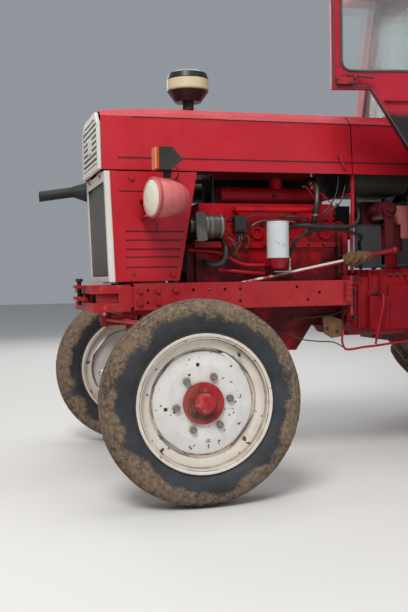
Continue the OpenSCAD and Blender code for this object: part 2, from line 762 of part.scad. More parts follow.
module transmission() {
    bell = engine_rear + 25;
    color("#a3253a") difference() {
        union() {
            front_plate(rounded(-200, 612, 200, 1170, 100, 6), -bell, -engine_rear);
            front_plate(rounded(-housing_half, 640, housing_half, 905, 50, 4), -bell, -engine_rear);
            front_plate(rounded(-housing_half, 610, housing_half, 930, 60, 4), -1250, -bell);
            front_plate(rounded(-180, 560, 180, 930, 40, 4), -2150, -1240);
            block([rear_x - 260, -200, 540], [rear_x + 250, 200, 935]);
            block([rear_x - 260, -170, 930], [rear_x - 20, 170, 1010]);
            both() {
                block([shaft_x - 40, 120, 1000], [shaft_x + 55, 165, shaft_z]);
                bar_y(shaft_x, 120, 165, shaft_z, 110);
                bar_y(rear_x, 195, 480, rear_z, 210);
                bar_y(rear_x, 480, rear_track / 2 - 118, rear_z, 290);
                bar_y(rear_x, rear_track / 2 - 120, rear_track / 2 - 40, rear_z, axle_stub_d);
                bar_y(link_pivot_x, 195, link_root_y - 24, link_z, 90);
                bar_y(link_pivot_x, link_root_y - 25, link_root_y + 32, link_z, 30);
            }
        }
        bar_x(rear_x - 300, rear_x - 250, 0, 640, 110);
        bar_y(shaft_x, -200, 200, shaft_z, 70 + 2 * pin_gap);
    }
    color("#77736d") bar_x(rear_x - 340, rear_x - 240, 0, 640, pto_d);
    color("#5c2a30") both() block([-1090, 228, 640], [-990, 262, 800]);
    color("#2c2a29") bar_z(-1180, 120, 929, 1020, 60);
}

module fuel_tank() {
    color("#3d3a2e") front_plate([for (p = rounded(-205, 1302, 205, 1560, 70, 5)) p], -1236, -914);
    color("#2c2a29") bar_z(-1090, 60, 1555, 1600, 70);
}

module battery() {
    color("#2a2a2c") {
        block([-1040, -200, 1100], [-928, -60, 1260]);
        for (y = [-175, -85]) bar_z(-984, y, 1255, 1275, 20);
    }
    color("#8c2a3c") {
        block([-1045, -205, 1088], [-926, -55, 1099.7]);
        for (x = [-1030, -946]) block([x, -130, 930.3], [x + 20, -110, 1090]);
    }
}

// Hood, cowl and nose

hood_pivot = [hood_front - 8, 1374];
hood_lean = 18;
lean_h = 240;
crown_x = -124;
nose_drop = 34;
seam_drop = 13;
seam_gap = 5;
cowl_rear = 1319.7;
hood_top = hood_z + hood_h;
low_groove = hood_z + 50;
high_groove = hood_z + 234;

// Half width of the hood side at height z
function hood_side_y(z) = hood_w / 2 - hood_lean * (z - hood_z) / lean_h;

// Outline of the hood in front view, drawn in by d all round and open below
function hood_outline(d) =
    let (low = hood_z - (d > 0 ? 5 : 0), half = hood_w / 2 - d, top = hood_top_w / 2 - d)
        [[-half, low], [half, low], [half - hood_lean, hood_z + lean_h], [top, hood_top - 38 - d / 2],
         [top - 30, hood_top - 14 - d], [top / 2, hood_top - 3 - d], [0, hood_top - d],
         [-top / 2, hood_top - 3 - d], [30 - top, hood_top - 14 - d], [-top, hood_top - 38 - d / 2],
         [hood_lean - half, hood_z + lean_h]];

// Hood shape from x0 to x1, trimmed along its crown in side view
module hood_form(x0, x1, d) {
    intersection() {
        front_plate(hood_outline(d), x0, x1);
        side_plate([[-1400, hood_z - 20], [400, hood_z - 20], [400, hood_top - nose_drop - 8 - d],
                    [hood_front, hood_top - nose_drop - d], [crown_x, hood_top - d],
                    [-hood_seam, hood_top - seam_drop - d], [-1400, hood_top - seam_drop - 2 - d]],
                   -hood_w, hood_w);
    }
}

// Groove pressed along both sides of the hood at height z
module hood_groove(z, x0, x1) {
    both() block([x0, hood_side_y(z) - hood_t / 2, z - groove_h / 2], [x1, hood_w, z + groove_h / 2]);
}

stem_x = -168;
stem_d = 55;

module hood() {
    color("#c22034") difference() {
        hood_form(-hood_seam, hood_front, 0);
        hood_form(-hood_seam - 5, hood_front + 5, hood_t);
        hood_groove(high_groove, -hood_seam - 5, hood_front - 140);
        hood_groove(low_groove, -hood_seam - 5, hood_front - 72);
        bar_z(stem_x, 0, hood_top - 60, hood_top + 40, stem_d + 1);
    }
    color("#c22034") difference() {
        both() {
            bar_y(hood_pivot.x, 130, 170, hood_pivot.y, 18);
            block([hood_pivot.x - 4, 130, hood_pivot.y], [hood_pivot.x + 4, 170, hood_z + 40]);
            block([hood_pivot.x - 4, 120, hood_z + 12], [hood_front - 0.3, hood_w / 2 - hood_t, hood_z + 40]);
        }
        both() bar_y(hood_pivot.x, 100, 200, hood_pivot.y, 8 + 2 * pin_gap);
    }
}

nose_low = hood_z + 3;
nose_high = hood_top - nose_drop - 6;
grille_rim = 26;
grille_t = 16;

// Outline of the upper grille, drawn in by d
function grille_outline(d) =
    let (low = hood_w / 2 - 12 - d, high = hood_top_w / 2 - 6 - d * 0.8)
        [[-low, nose_low + d], [low, nose_low + d], [low - 12, nose_low + 205], [high, nose_high - 30 - d * 0.4],
         [high - 26, nose_high - d], [26 - high, nose_high - d], [-high, nose_high - 30 - d * 0.4],
         [12 - low, nose_low + 205]];

module upper_grille() {
    pitch = (nose_high - nose_low - 2 * grille_rim) / slat_count;
    color("#e9e4d6") {
        difference() {
            front_plate(grille_outline(0), hood_front, hood_front + grille_t);
            front_plate(grille_outline(grille_rim), hood_front - 1, hood_front + 20);
        }
        intersection() {
            front_plate(grille_outline(2), hood_front + 1, hood_front + grille_t - 2);
            union() for (k = [0:slat_count - 1])
                let (z = nose_low + grille_rim + pitch * (k + 0.5))
                    block([200, -hood_w, z - pitch / 4], [400, hood_w, z + pitch / 4]);
        }
        block([hood_front, -44, nose_low + 95], [hood_front + grille_t + 1, 44, nose_low + 165]);
    }
}

module precleaner() {
    r = precleaner_d / 2;
    z = precleaner_z;
    color("#d9cdb0") translate([stem_x, 0, 0]) {
        rotate_extrude() polygon([[stem_d / 2 - 4, hood_top - 40], [stem_d / 2, hood_top - 40],
                                  [stem_d / 2, z - 150], [r * 0.62, z - 148], [r - 6, z - 104], [r, z - 96],
                                  [r, z - 44], [r + 0.5, z - 40], [r - 8, z - 14], [r * 0.6, z], [0, z],
                                  [0, z - 60], [stem_d / 2 - 4, z - 60]]);
    }
}

strut_x = -hood_seam - 20;
strut_y = housing_half - 20;

module cowl() {
    color("#c22034") difference() {
        union() {
            difference() {
                hood_form(-cowl_rear, -hood_seam - seam_gap, 0);
                hood_form(-cowl_rear - 5, -hood_seam, hood_t);
            }
            both() {
                block([strut_x, hood_w / 2 - 34, 1140], [strut_x + 14, hood_w / 2 - 22, hood_z + 60]);
                block([strut_x, hood_w / 2 - 30, hood_z], [strut_x + 14, hood_w / 2 - 5, hood_z + 12]);
                block([strut_x, strut_y, 914.4], [strut_x + 14, strut_y + 10, 1200]);
                block([strut_x, strut_y, 1150], [strut_x + 14, hood_w / 2 - 30, 1200]);
            }
            block([strut_x, 30 - hood_w / 2, 1290], [strut_x + 14, hood_w / 2 - 30, 1301.7]);
        }
        hood_groove(high_groove, -cowl_rear - 5, -hood_seam);
        hood_groove(low_groove, -cowl_rear - 5, -hood_seam);
    }
}

nose_top = 1377;
nose_depth = 55;
nose_lean = 15;

// Front face of the lower grille at height z
function nose_x(z) = 275 + nose_lean * (z - nose_z) / (nose_top - nose_z);

module lower_grille() {
    half = nose_w / 2;
    side = [[nose_x(nose_z), nose_z], [nose_x(nose_top), nose_top],
            [nose_x(nose_top) - nose_depth, nose_top], [nose_x(nose_z) - nose_depth, nose_z]];
    color("#dedad0") difference() {
        side_plate(side, -half, half);
        block([200, 26 - half, nose_z + 26], [320, half - 26, nose_top - 42]);
        side_plate([[side[0].x - 6, nose_z + 6], [side[1].x - 6, nose_top - 6], [side[2].x - 20, nose_top - 6],
                    [side[3].x - 20, nose_z + 6]], 6 - half, half - 6);
        both() block([hood_pivot.x - 16, 128, nose_top - 20], [320, 172, nose_top + 5]);
    }
    color("#dedad0") both() {
        bar_y(hood_pivot.x, 108, 192, hood_pivot.y, 8);
        bar_y(hood_pivot.x, 108, 127, hood_pivot.y, 17);
        bar_y(hood_pivot.x, 173, 192, hood_pivot.y, 17);
    }
    color("#8f8d8a") intersection() {
        side_plate([[side[0].x - 13, nose_z], [side[1].x - 13, nose_top], [side[1].x - 17, nose_top],
                    [side[0].x - 17, nose_z]], -half, half);
        union() {
            for (k = [0:bar_count - 1])
                let (y = (half - 26) * (2 * (k + 0.5) / bar_count - 1))
                    block([200, y - 2, nose_z + 24], [320, y + 2, nose_top - 38]);
            for (z = [nose_z + 22, (nose_z + nose_top) / 2, nose_top - 46])
                block([200, 22 - half, z], [320, half - 22, z + 6]);
        }
    }
    color("#8f8d8a") both() block([220, 228, 900], [nose_x(nose_z) - 16, 232, nose_top - 60]);
}

panel_t = 5;
panel_grooves = [1109, 1070, 1030, 995, 950];

module side_panels() {
    y = nose_w / 2 + 0.3;
    color("#c22034") both() difference() {
        side_plate([[265, 1376], [248, 890], [-42, 890], [-130, 1376]], y, y + panel_t);
        for (z = panel_grooves)
            block([-20 - (z - 890) * 0.2, y + panel_t - 2, z - 5], [200, y + panel_t + 5, z + 5]);
        block([60, y + panel_t - 2, 1280], [225, y + panel_t + 5, 1290]);
    }
    color("#8d8a86") both() for (p = [[170, 1345], [-10, 920]])
        bar_y(p.x, y + panel_t, y + panel_t + 9, p.y, 22, $fn = 6);
    color("#2e2c2b") both() for (z = [905, 1330]) block([110, 250, z], [150, y, z + 20]);
}

lamp_turn = 12;
lamp_x = 118;

module lamp_frame() {
    translate([lamp_x, headlight_y, headlight_z]) rotate([0, 0, lamp_turn]) children();
}

module headlights() {
    r = headlight_d / 2;
    color("#dc8a8e") both() lamp_frame() rotate([0, 90, 0]) difference() {
        rotate_extrude() polygon([[0, -174], [26, -169], [48, -152], [66, -122], [77, -84], [r - 2, -44], [r - 1, -14],
                                  [r, -10], [r, 4], [r - 5, 8], [r - 9, 4], [r - 9, -2], [0, -2]]);
    }
    color("#b02438") both() difference() {
        side_plate([[lamp_x - 18, 1168], [lamp_x + 18, 1168], [lamp_x + 18, 1250], [lamp_x - 18, 1250]],
                   nose_w / 2 + panel_t + 0.6, headlight_y - 30);
        block([lamp_x - 12, 200, 1174], [lamp_x + 30, 500, 1244]);
        lamp_frame() rotate([0, 90, 0]) translate([0, 0, -60]) cylinder(h = 120, d = headlight_d - 8);
    }
    color("#2a2a2b") both() {
        block([26, headlight_y - 42, headlight_z + 60], [60, headlight_y - 36, indicator_z - 3]);
        block([10, headlight_y - 60, indicator_z - 4], [76, headlight_y, indicator_z - 0.3]);
    }
}

indicator_z = 1362;
indicator_h = 97;
indicator_w = 70;

module indicators() {
    y = headlight_y - 65;
    color("#2a2a2b") both()
        side_plate([[-12, indicator_z + 0.4 * indicator_h], [36, indicator_z], [86, indicator_z],
                    [86, indicator_z + indicator_h], [29, indicator_z + indicator_h],
                    [-12, indicator_z + 0.52 * indicator_h]], y, y + indicator_w);
}

module lamp_lenses() {
    r = headlight_d / 2;
    color("#e8e6e0") both() lamp_frame() rotate([0, 90, 0])
        rotate_extrude() polygon([[0, -1.7], [r - 9.3, -1.7], [r - 9.3, 5], [50, 16], [0, 22]]);
    color("#d98a2a") both() block([86, headlight_y - 62, indicator_z + 3],
                                  [104, headlight_y - 68 + indicator_w, indicator_z + indicator_h - 3]);
}

// Cab

side_y = cab_w / 2;
inner_y = side_y - wall_t;
hinge = [-1395, side_y + 35];
door_out = 5;
door_low = floor_z + 40;
door_high = roof_z - 22;
ledge_z = 1720;
cab_front = -1320;
sill_z = 1690;
screen_lean = 8;
glass_gap = 0.3;
rear_window = [1500, roof_z - 90];

// Door outline in side view, u from the hinge to the free edge and z; d draws it in
lean_u = (door_high - sill_z) * tan(screen_lean);
function door_outline(d) = [[12 + d, door_low + d], [76 - d * 0.6, door_low + d],
    [door_w - 176 + d * 0.2, ledge_z + d], [door_w - d, ledge_z + d], [door_w - d, door_high - d],
    [12 + lean_u + d, door_high - d], [12 + d, sill_z]];
// Window opening of a door, drawn in by d
function door_window(d) = soft_outline([[62 + d, 1800 + d], [door_w - 45 - d, 1800 + d],
    [door_w - 45 - d, door_high - 55 - d], [52 + lean_u + d, door_high - 55 - d]], window_r, 5);
rebate = 8;

// Draws a piece given in a door's own frame, which is turned by angle about its hinge
module at_door(side, angle) {
    on_side(side) translate([hinge.x, hinge.y, 0]) rotate([0, 0, 180 - angle]) children();
}

module door(side, angle) {
    at_door(side, angle) {
        color("#b8284a") difference() {
            side_plate(door_outline(0), door_out, door_out + door_t);
            side_plate(door_window(0), 0, 60);
            side_plate(door_window(-rebate), door_out + door_t / 2 - glass_gap,
                       door_out + door_t / 2 + glass_t + glass_gap);
            side_plate([[60, 1100], [door_w - 372, 1480], [door_w - 232, ledge_z - 50], [60, ledge_z - 50]],
                       door_out + 10, 60);
        }
        color("#b8284a") for (z = hinge_heights) {
            bar_z(0, 0, z, z + 60, 20);
            block([0, 1, z + 8], [70, door_out + 1, z + 52]);
        }
        color("#3a3a3a") block([door_w - 90, door_out + door_t, ledge_z + 18], [door_w - 20, door_out + door_t + 22,
                                                                              ledge_z + 46]);
    }
}

module door_glass(side, angle) {
    color("#9fb4ba") at_door(side, angle)
        side_plate(door_window(glass_gap - rebate), door_out + door_t / 2, door_out + door_t / 2 + glass_t);
}

// Side of the cab: the ring round a door and the fixed window behind it
rear_post = -cab_rear;
hinge_heights = [1080, 1600];
door_rear = hinge.x - door_w;

module cab_side() {
    difference() {
        side_plate([[cab_front, floor_z], [cab_front, sill_z], [cab_front - 108, roof_z], [rear_post, roof_z],
                    [rear_post, 1650], [door_rear + 140, 1650], [-1450, floor_z]], inner_y, side_y);
        translate([hinge.x, 0, 0]) mirror([1, 0, 0]) side_plate(door_outline(14), 0, side_y + 50);
        side_plate(rounded(rear_post + 45, 1760, door_rear - 40, roof_z - 80, 40, 4), 0, side_y + 50);
        side_plate(rounded(rear_post + 37, 1752, door_rear - 32, roof_z - 72, 48, 4),
                   inner_y + wall_t / 2 - 0.3, inner_y + wall_t / 2 + glass_t + 0.6);
    }
}

// Frame of the windscreen, leaning back
screen_h = (roof_z - sill_z) / cos(screen_lean);

module leaning() translate([cab_front - wall_t, 0, sill_z]) rotate([0, -screen_lean, 0]) children();

module cab_frame() {
    color("#b8284a") {
        both() cab_side();
        intersection() {
            leaning() difference() {
                block([0, -inner_y - 4, -10], [wall_t, inner_y + 4, screen_h + 20]);
                front_plate(rounded(60 - inner_y, 60, inner_y - 60, screen_h - 40, 40, 4), -10, wall_t + 10);
                front_plate(rounded(52 - inner_y, 52, inner_y - 52, screen_h - 32, 48, 4),
                            wall_t / 2 - 0.3, wall_t / 2 + glass_t + 0.6);
            }
            block([-1600, -inner_y - 4, sill_z - 5], [cab_front, inner_y + 4, roof_z]);
        }
        difference() {
            block([cab_front - wall_t + 1, -inner_y - 2, floor_z], [cab_front - 1, inner_y + 2, sill_z - 3]);
            block([cab_front - wall_t - 5, -250, floor_z + 8], [cab_front + 5, 250, sill_z - 20]);
        }
        difference() {
            union() {
                block([rear_post, -fender_in + 0.3, 1130], [rear_post + wall_t, fender_in - 0.3, roof_z]);
                block([rear_post, -inner_y, 1650], [rear_post + wall_t, inner_y, roof_z]);
            }
            front_plate(rounded(80 - inner_y, rear_window[0], inner_y - 80, rear_window[1], 50, 4),
                        rear_post - 5, rear_post + wall_t + 5);
            front_plate(rounded(72 - inner_y, rear_window[0] - 8, inner_y - 72, rear_window[1] + 8, 58, 4),
                        rear_post + wall_t / 2 - 0.3, rear_post + wall_t / 2 + glass_t + 0.6);
        }
        both() for (z = hinge_heights) {
            bar_z(hinge.x, hinge.y, z - 14, z - 0.3, 20);
            block([hinge.x - 10, side_y - 1, z - 14], [hinge.x + 10, hinge.y, z - 0.3]);
        }
    }
}

module cab_roof() {
    half = side_y + 45;
    x0 = rear_post - 50;
    x1 = cab_front + 40;
    color("#c4365a") {
        difference() {
            intersection() {
                front_plate([[-half, roof_z + 0.3], [half, roof_z + 0.3], [half, roof_z + 40], [half - 30, roof_z + roof_h - 20],
                             [half - 160, roof_z + roof_h], [160 - half, roof_z + roof_h],
                             [30 - half, roof_z + roof_h - 20], [-half, roof_z + 40]], x0, x1);
                side_plate([[x0, roof_z + 0.3], [x1, roof_z + 0.3], [x1, roof_z + 36], [x1 - 40, roof_z + roof_h - 16],
                            [x1 - 160, roof_z + roof_h], [x0 + 120, roof_z + roof_h], [x0 + 30, roof_z + roof_h - 16],
                            [x0, roof_z + 36]], -half, half);
            }
            block([rear_post + 40, 60 - side_y, roof_z - 1], [cab_front - 150, side_y - 60, roof_z + roof_h - 30]);
        }
    }
}

module cab_glass() {
    color("#9fb4ba") {
        intersection() {
            leaning() front_plate(rounded(52.6 - inner_y, 52.6, inner_y - 52.6, screen_h - 32.6, 47, 4),
                                  wall_t / 2, wall_t / 2 + glass_t);
            block([-1600, -inner_y, sill_z], [cab_front, inner_y, roof_z]);
        }
        front_plate(rounded(72.6 - inner_y, rear_window[0] - 7.4, inner_y - 72.6, rear_window[1] + 7.4, 57, 4),
                    rear_post + wall_t / 2, rear_post + wall_t / 2 + glass_t);
        both() side_plate(rounded(rear_post + 37.6, 1752.6, door_rear - 32.6, roof_z - 72.6, 47, 4),
                          inner_y + wall_t / 2, inner_y + wall_t / 2 + glass_t);
    }
}

fender_in = rear_track / 2 - rear_tyre_w / 2 - 65;
fender_out = rear_track / 2 + rear_tyre_w / 2;
fender_first = 12;
fender_sweep = 160;

module rear_fenders() {
    color("#b8284a") both() translate([rear_x, 0, rear_z]) rotate([-90, 0, 0]) rotate([0, 0, -fender_first - fender_sweep])
        rotate_extrude(angle = fender_sweep, $fn = 96)
            polygon([[540, fender_in], [fender_r, fender_in], [fender_r, fender_out], [fender_r - 24, fender_out],
                     [fender_r - 24, fender_out - fender_t], [fender_r - fender_t, fender_out - fender_t],
                     [fender_r - fender_t, fender_in + fender_t], [540, fender_in + fender_t]]);
}

module platform() {
    half = fender_in - 0.3;
    t = 6;
    color("#3b3633") {
            block([-2050, -half, floor_z - t], [cab_front, half, floor_z]);
            block([-1450, -side_y, floor_z - t], [cab_front, side_y, floor_z - 0.3]);
            block([-2056, -half, floor_z - t], [-2050, half, 1080]);
            block([rear_post + wall_t, -half, 1074], [-2050, half, 1080]);
            block([rear_post, -half, 1074], [rear_post + wall_t, half, 1129.7]);
            both() {
                block([-1400, 470, 560], [-1380, 490, floor_z]);
                block([-1560, 470, 560], [-1540, 490, floor_z]);
                block([-1570, 460, 540], [-1370, 620, 560]);
                block([-1560, 100, 930.3], [-1500, 160, floor_z - t]);
                block([-2300, 100, 935.3], [-2200, 160, 1074]);
            }
    }
}

// Front face of the seat back at height z
function seat_back_x(z) = -2220 - 50 * (z - 1335) / 465;

module seat_frame() {
    color("#2c2a29") {
        block([-2200, -130, 1080.3], [-2062, 130, 1100]);
        for (y = [-110, 90]) side_plate([[-2180, 1095], [-2110, 1095], [-2000, 1340], [-2060, 1340]], y, y + 20);
        block([-2230, -200, 1335], [-1850, 200, 1350]);
        side_plate([[-2235, 1335], [seat_back_x(1335), 1335], [seat_back_x(1800), 1800], [-2285, 1800]],
                   -180, 180);
    }
}

module seat_cushions() {
    color("#33302e") {
        side_plate([[seat_back_x(1350) + 0.6, 1350.3], [-1850, 1350.3], [-1840, 1420], [-1870, 1445], [-2190, 1430], [-2222, 1400]],
                   -215, 215);
        side_plate([[seat_back_x(1440) + 0.3, 1440], [-2150, 1440], [-2165, 1500], [-2200, 1840],
                    [seat_back_x(1840) + 0.3, 1840]], -205, 205);
    }
}

module controls() {
    color("#2c2a29") {
        difference() {
            block([cab_front - 24, -249.7, floor_z + 9], [cab_front - 14, 249.7, sill_z - 20.3]);
            rod([-1200, 0, 1200], [-1500, 0, 1500], 80);
        }
        difference() {
            block([cab_front - 90, -180, 1440], [cab_front - 24, 180, 1600]);
            rod([-1200, 0, 1200], [-1600, 0, 1600], 80);
        }
    }
    color("#4a4644") {
        for (y = [-230, -150, 190]) {
            rod([cab_front - 40, y, 1100], [-1460, y, floor_z + 60], 16);
            block([-1500, y - 30, floor_z + 54], [-1440, y + 30, floor_z + 64]);
        }
        bar_y(cab_front - 40, -245, 245, 1100, 24);
        block([cab_front - 52, -249, 1085], [cab_front - 24, -235, 1115]);
        block([cab_front - 52, 235, 1085], [cab_front - 24, 249, 1115]);
        rod([-1700, -60, floor_z + 8], [-1780, -60, 1380], 18);
        bar_z(-1780, -60, 1372, 1412, 40);
        rod([-1880, 190, floor_z + 8], [-1905, 190, 1250], 16);
        bar_z(-1700, -60, floor_z, floor_z + 40, 70);
        bar_z(-1880, 190, floor_z, floor_z + 30, 50);
    }
}

// Hitch

link_z = 520;
link_root = [link_pivot_x, link_root_y, link_z];
link_end = [link_pivot_x - link_run, link_span / 2, link_z - link_drop];
link_fall = atan(link_drop / link_run);
link_plan = norm([link_run, link_drop]);
arm_pivot = [shaft_x, 0, shaft_z];
// Both ends of a lift rod move alike, because the arm is as long as its reach along the link
arm_step = lift_arm * [-cos(link_fall), 0, -sin(link_fall)];
link_share = lift_arm / link_plan;
arm_y = 262;
top_pivot = [rear_x - 300, 0, 930];
top_length = 560;
top_hang = 22;

module lift_arms() {
    color("#a3253a") {
        bar_y(arm_pivot.x, -arm_y - 22, arm_y + 22, arm_pivot.z, 70);
        both() difference() {
            union() {
                translate([arm_pivot.x, 0, arm_pivot.z]) rotate([0, -link_fall, 0])
                    side_plate([[14 - lift_arm, -16], [14 - lift_arm, 16], [0, 30], [0, -30]], arm_y - 10, arm_y + 10);
                bar_y(arm_pivot.x + arm_step.x, arm_y - 12, arm_y + 12, arm_pivot.z + arm_step.z, 52);
            }
            bar_y(arm_pivot.x + arm_step.x, arm_y - 20, arm_y + 20, arm_pivot.z + arm_step.z, 20 + 2 * pin_gap);
        }
    }
}

module lift_rods() {
    top = arm_pivot + arm_step;
    low = link_root + (link_end - link_root) * link_share;
    fork_y = arm_y + 20;
    foot_y = low.y + 30;
    color("#77736d") both() {
        bar_y(top.x, arm_y - 16, fork_y + 12, top.z, 20);
        bar_y(top.x, fork_y, fork_y + 14, top.z, 50);
        rod([top.x, fork_y + 7, top.z], [low.x, foot_y + 7, low.z], 28);
        bar_y(low.x, foot_y, foot_y + 14, low.z, 48);
        bar_y(low.x, low.y - 18, foot_y + 1, low.z, 20);
    }
}

module lower_links() {
    low = link_root + (link_end - link_root) * link_share;
    color("#6a6661") both() difference() {
        union() {
            translate([0, 0, link_z]) link_bar();
            bar_y(link_root.x, link_root_y - 18, link_root_y + 18, link_z, 64);
            bar_y(link_end.x, link_end.y - link_ball_w / 2, link_end.y + link_ball_w / 2, link_end.z, 2 * link_eye_r);
        }
        bar_y(link_root.x, link_root_y - 60, link_root_y + 60, link_z, 30 + 2 * pin_gap);
        bar_y(low.x, low.y - 60, low.y + 60, low.z, 20 + 2 * pin_gap);
        bar_y(link_end.x, link_end.y - 60, link_end.y + 60, link_end.z, link_bore);
    }
}

// Flat bar of a lower link, from its root eye to its ball
module link_bar() {
    w = 24;
    translate([link_root.x, 0, 0]) rotate([0, -link_fall, 0])
        linear_extrude_z([[-20, link_root_y - w / 2], [20 - link_plan, link_span / 2 - w / 2],
                          [20 - link_plan, link_span / 2 + w / 2], [-20, link_root_y + w / 2]], -32, 32);
}

module linear_extrude_z(points, z0, z1) translate([0, 0, z0]) linear_extrude(z1 - z0) polygon(points);

module top_link() {
    color("#77736d") translate(top_pivot) rotate([0, -top_hang, 0]) difference() {
        union() {
            bar_x(-top_length + 20, -20, 0, 0, 34);
            bar_x(-top_length + 150, -150, 0, 0, 46);
            bar_y(0, -20, 20, 0, 56);
            bar_y(-top_length, -22, 22, 0, 58);
        }
        bar_y(0, -40, 40, 0, 24 + 2 * pin_gap);
        bar_y(-top_length, -40, 40, 0, 25.7);
    }
}

module drawbar() {
    z = 400;
    color("#6a2a32") difference() {
        union() {
            block([rear_x - 560, -40, z], [rear_x + 120, 40, z + 32]);
            bar_z(rear_x - 560, 0, z, z + 32, 80);
            both() for (x = [rear_x - 220, rear_x + 60]) {
                block([x, 42, z - 10], [x + 60, 60, 539.7]);
            }
            for (x = [rear_x - 220, rear_x + 60]) block([x, -60, z - 12], [x + 60, 60, z]);
        }
        bar_z(rear_x - 560, 0, z - 20, z + 60, drawbar_hole);
    }
    color("#a3253a") difference() {
        union() {
            both() block([top_pivot.x - 30, 23, 890], [top_pivot.x + 39.7, 41, 970]);
            bar_y(top_pivot.x, -48, 48, top_pivot.z, 24);
        }
    }
}

place() front_support();
place() frame_rails();
place() front_axle();
place() knuckle(1);  // knuckle_left
place() knuckle(-1);  // knuckle_right
place() front_tyre(1);  // front_tyre_left
place() front_tyre(-1);  // front_tyre_right
place() front_rim(1);  // front_rim_left
place() front_rim(-1);  // front_rim_right
place() front_hub(1);  // front_hub_left
place() front_hub(-1);  // front_hub_right
place() rear_tyre(1);  // rear_tyre_left
place() rear_tyre(-1);  // rear_tyre_right
place() rear_rim(1);  // rear_rim_left
place() rear_rim(-1);  // rear_rim_right
place() steering_lever();
place() tie_rods();
place() drag_link();
place() drop_arm_piece();  // drop_arm
place() steering_column();
place() steering_wheel();
place() engine_block();
place() rocker_cover();
place() oil_filter();
place() alternator_starter();
place() radiator();
place() cooling_fan();
place() air_cleaner();
place() engine_hoses();
place() exhaust();
place() transmission();
place() fuel_tank();
place() battery();
place() hood();
place() upper_grille();
place() precleaner();
place() cowl();
place() lower_grille();
place() side_panels();
place() headlights();
place() indicators();
place() lamp_lenses();
place() platform();
place() rear_fenders();
place() cab_frame();
place() cab_roof();
place() cab_glass();
place() door(1, door_open);  // door_left
place() door(-1, 0);  // door_right
place() door_glass(1, door_open);  // door_glass_left
place() door_glass(-1, 0);  // door_glass_right
place() seat_frame();
place() seat_cushions();
place() controls();
place() lift_arms();
place() lift_rods();
place() lower_links();
place() top_link();
place() drawbar();
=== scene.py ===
import math
import random

import bmesh
import bpy
from mathutils import Matrix, Vector


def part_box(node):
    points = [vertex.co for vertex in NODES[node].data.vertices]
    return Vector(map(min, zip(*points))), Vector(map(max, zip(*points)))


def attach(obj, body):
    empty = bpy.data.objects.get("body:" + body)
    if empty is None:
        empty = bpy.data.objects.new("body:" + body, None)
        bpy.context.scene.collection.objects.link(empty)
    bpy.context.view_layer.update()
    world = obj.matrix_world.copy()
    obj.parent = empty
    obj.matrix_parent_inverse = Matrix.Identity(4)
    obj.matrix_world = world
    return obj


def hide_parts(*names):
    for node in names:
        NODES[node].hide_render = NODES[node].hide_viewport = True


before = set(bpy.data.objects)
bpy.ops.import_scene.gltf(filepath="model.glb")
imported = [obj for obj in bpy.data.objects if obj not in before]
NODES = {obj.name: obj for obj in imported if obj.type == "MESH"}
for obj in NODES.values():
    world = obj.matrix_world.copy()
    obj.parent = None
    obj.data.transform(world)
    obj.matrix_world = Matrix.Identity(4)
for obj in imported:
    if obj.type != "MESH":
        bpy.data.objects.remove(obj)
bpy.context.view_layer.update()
random.seed(7)

# Main measures in millimetres, as in the part's source
WHEELBASE, HALF_TRACK, FRONT_R, REAR_R, REAR_H = 2400, 750, 410, 790, 185
HINGE_X, HINGE_Y = -1395, 620
SILL_Z, ROOF_Z = 1690, 2470
LEAN = math.radians(8)
RIM_LOW, RIM_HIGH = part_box("rear_rim_left")
SHIFT = (RIM_LOW.x + RIM_HIGH.x) / 2 + WHEELBASE / 1000


def row(p):
    """A point in millimetres from the front axle line, as metres in the row frame."""
    return Vector((p[0] / 1000 + SHIFT, p[1] / 1000, p[2] / 1000))


# Materials

def linear(rgb):
    return [(c / 255 / 12.92 if c <= 10 else ((c / 255 + 0.055) / 1.055) ** 2.4) for c in rgb]


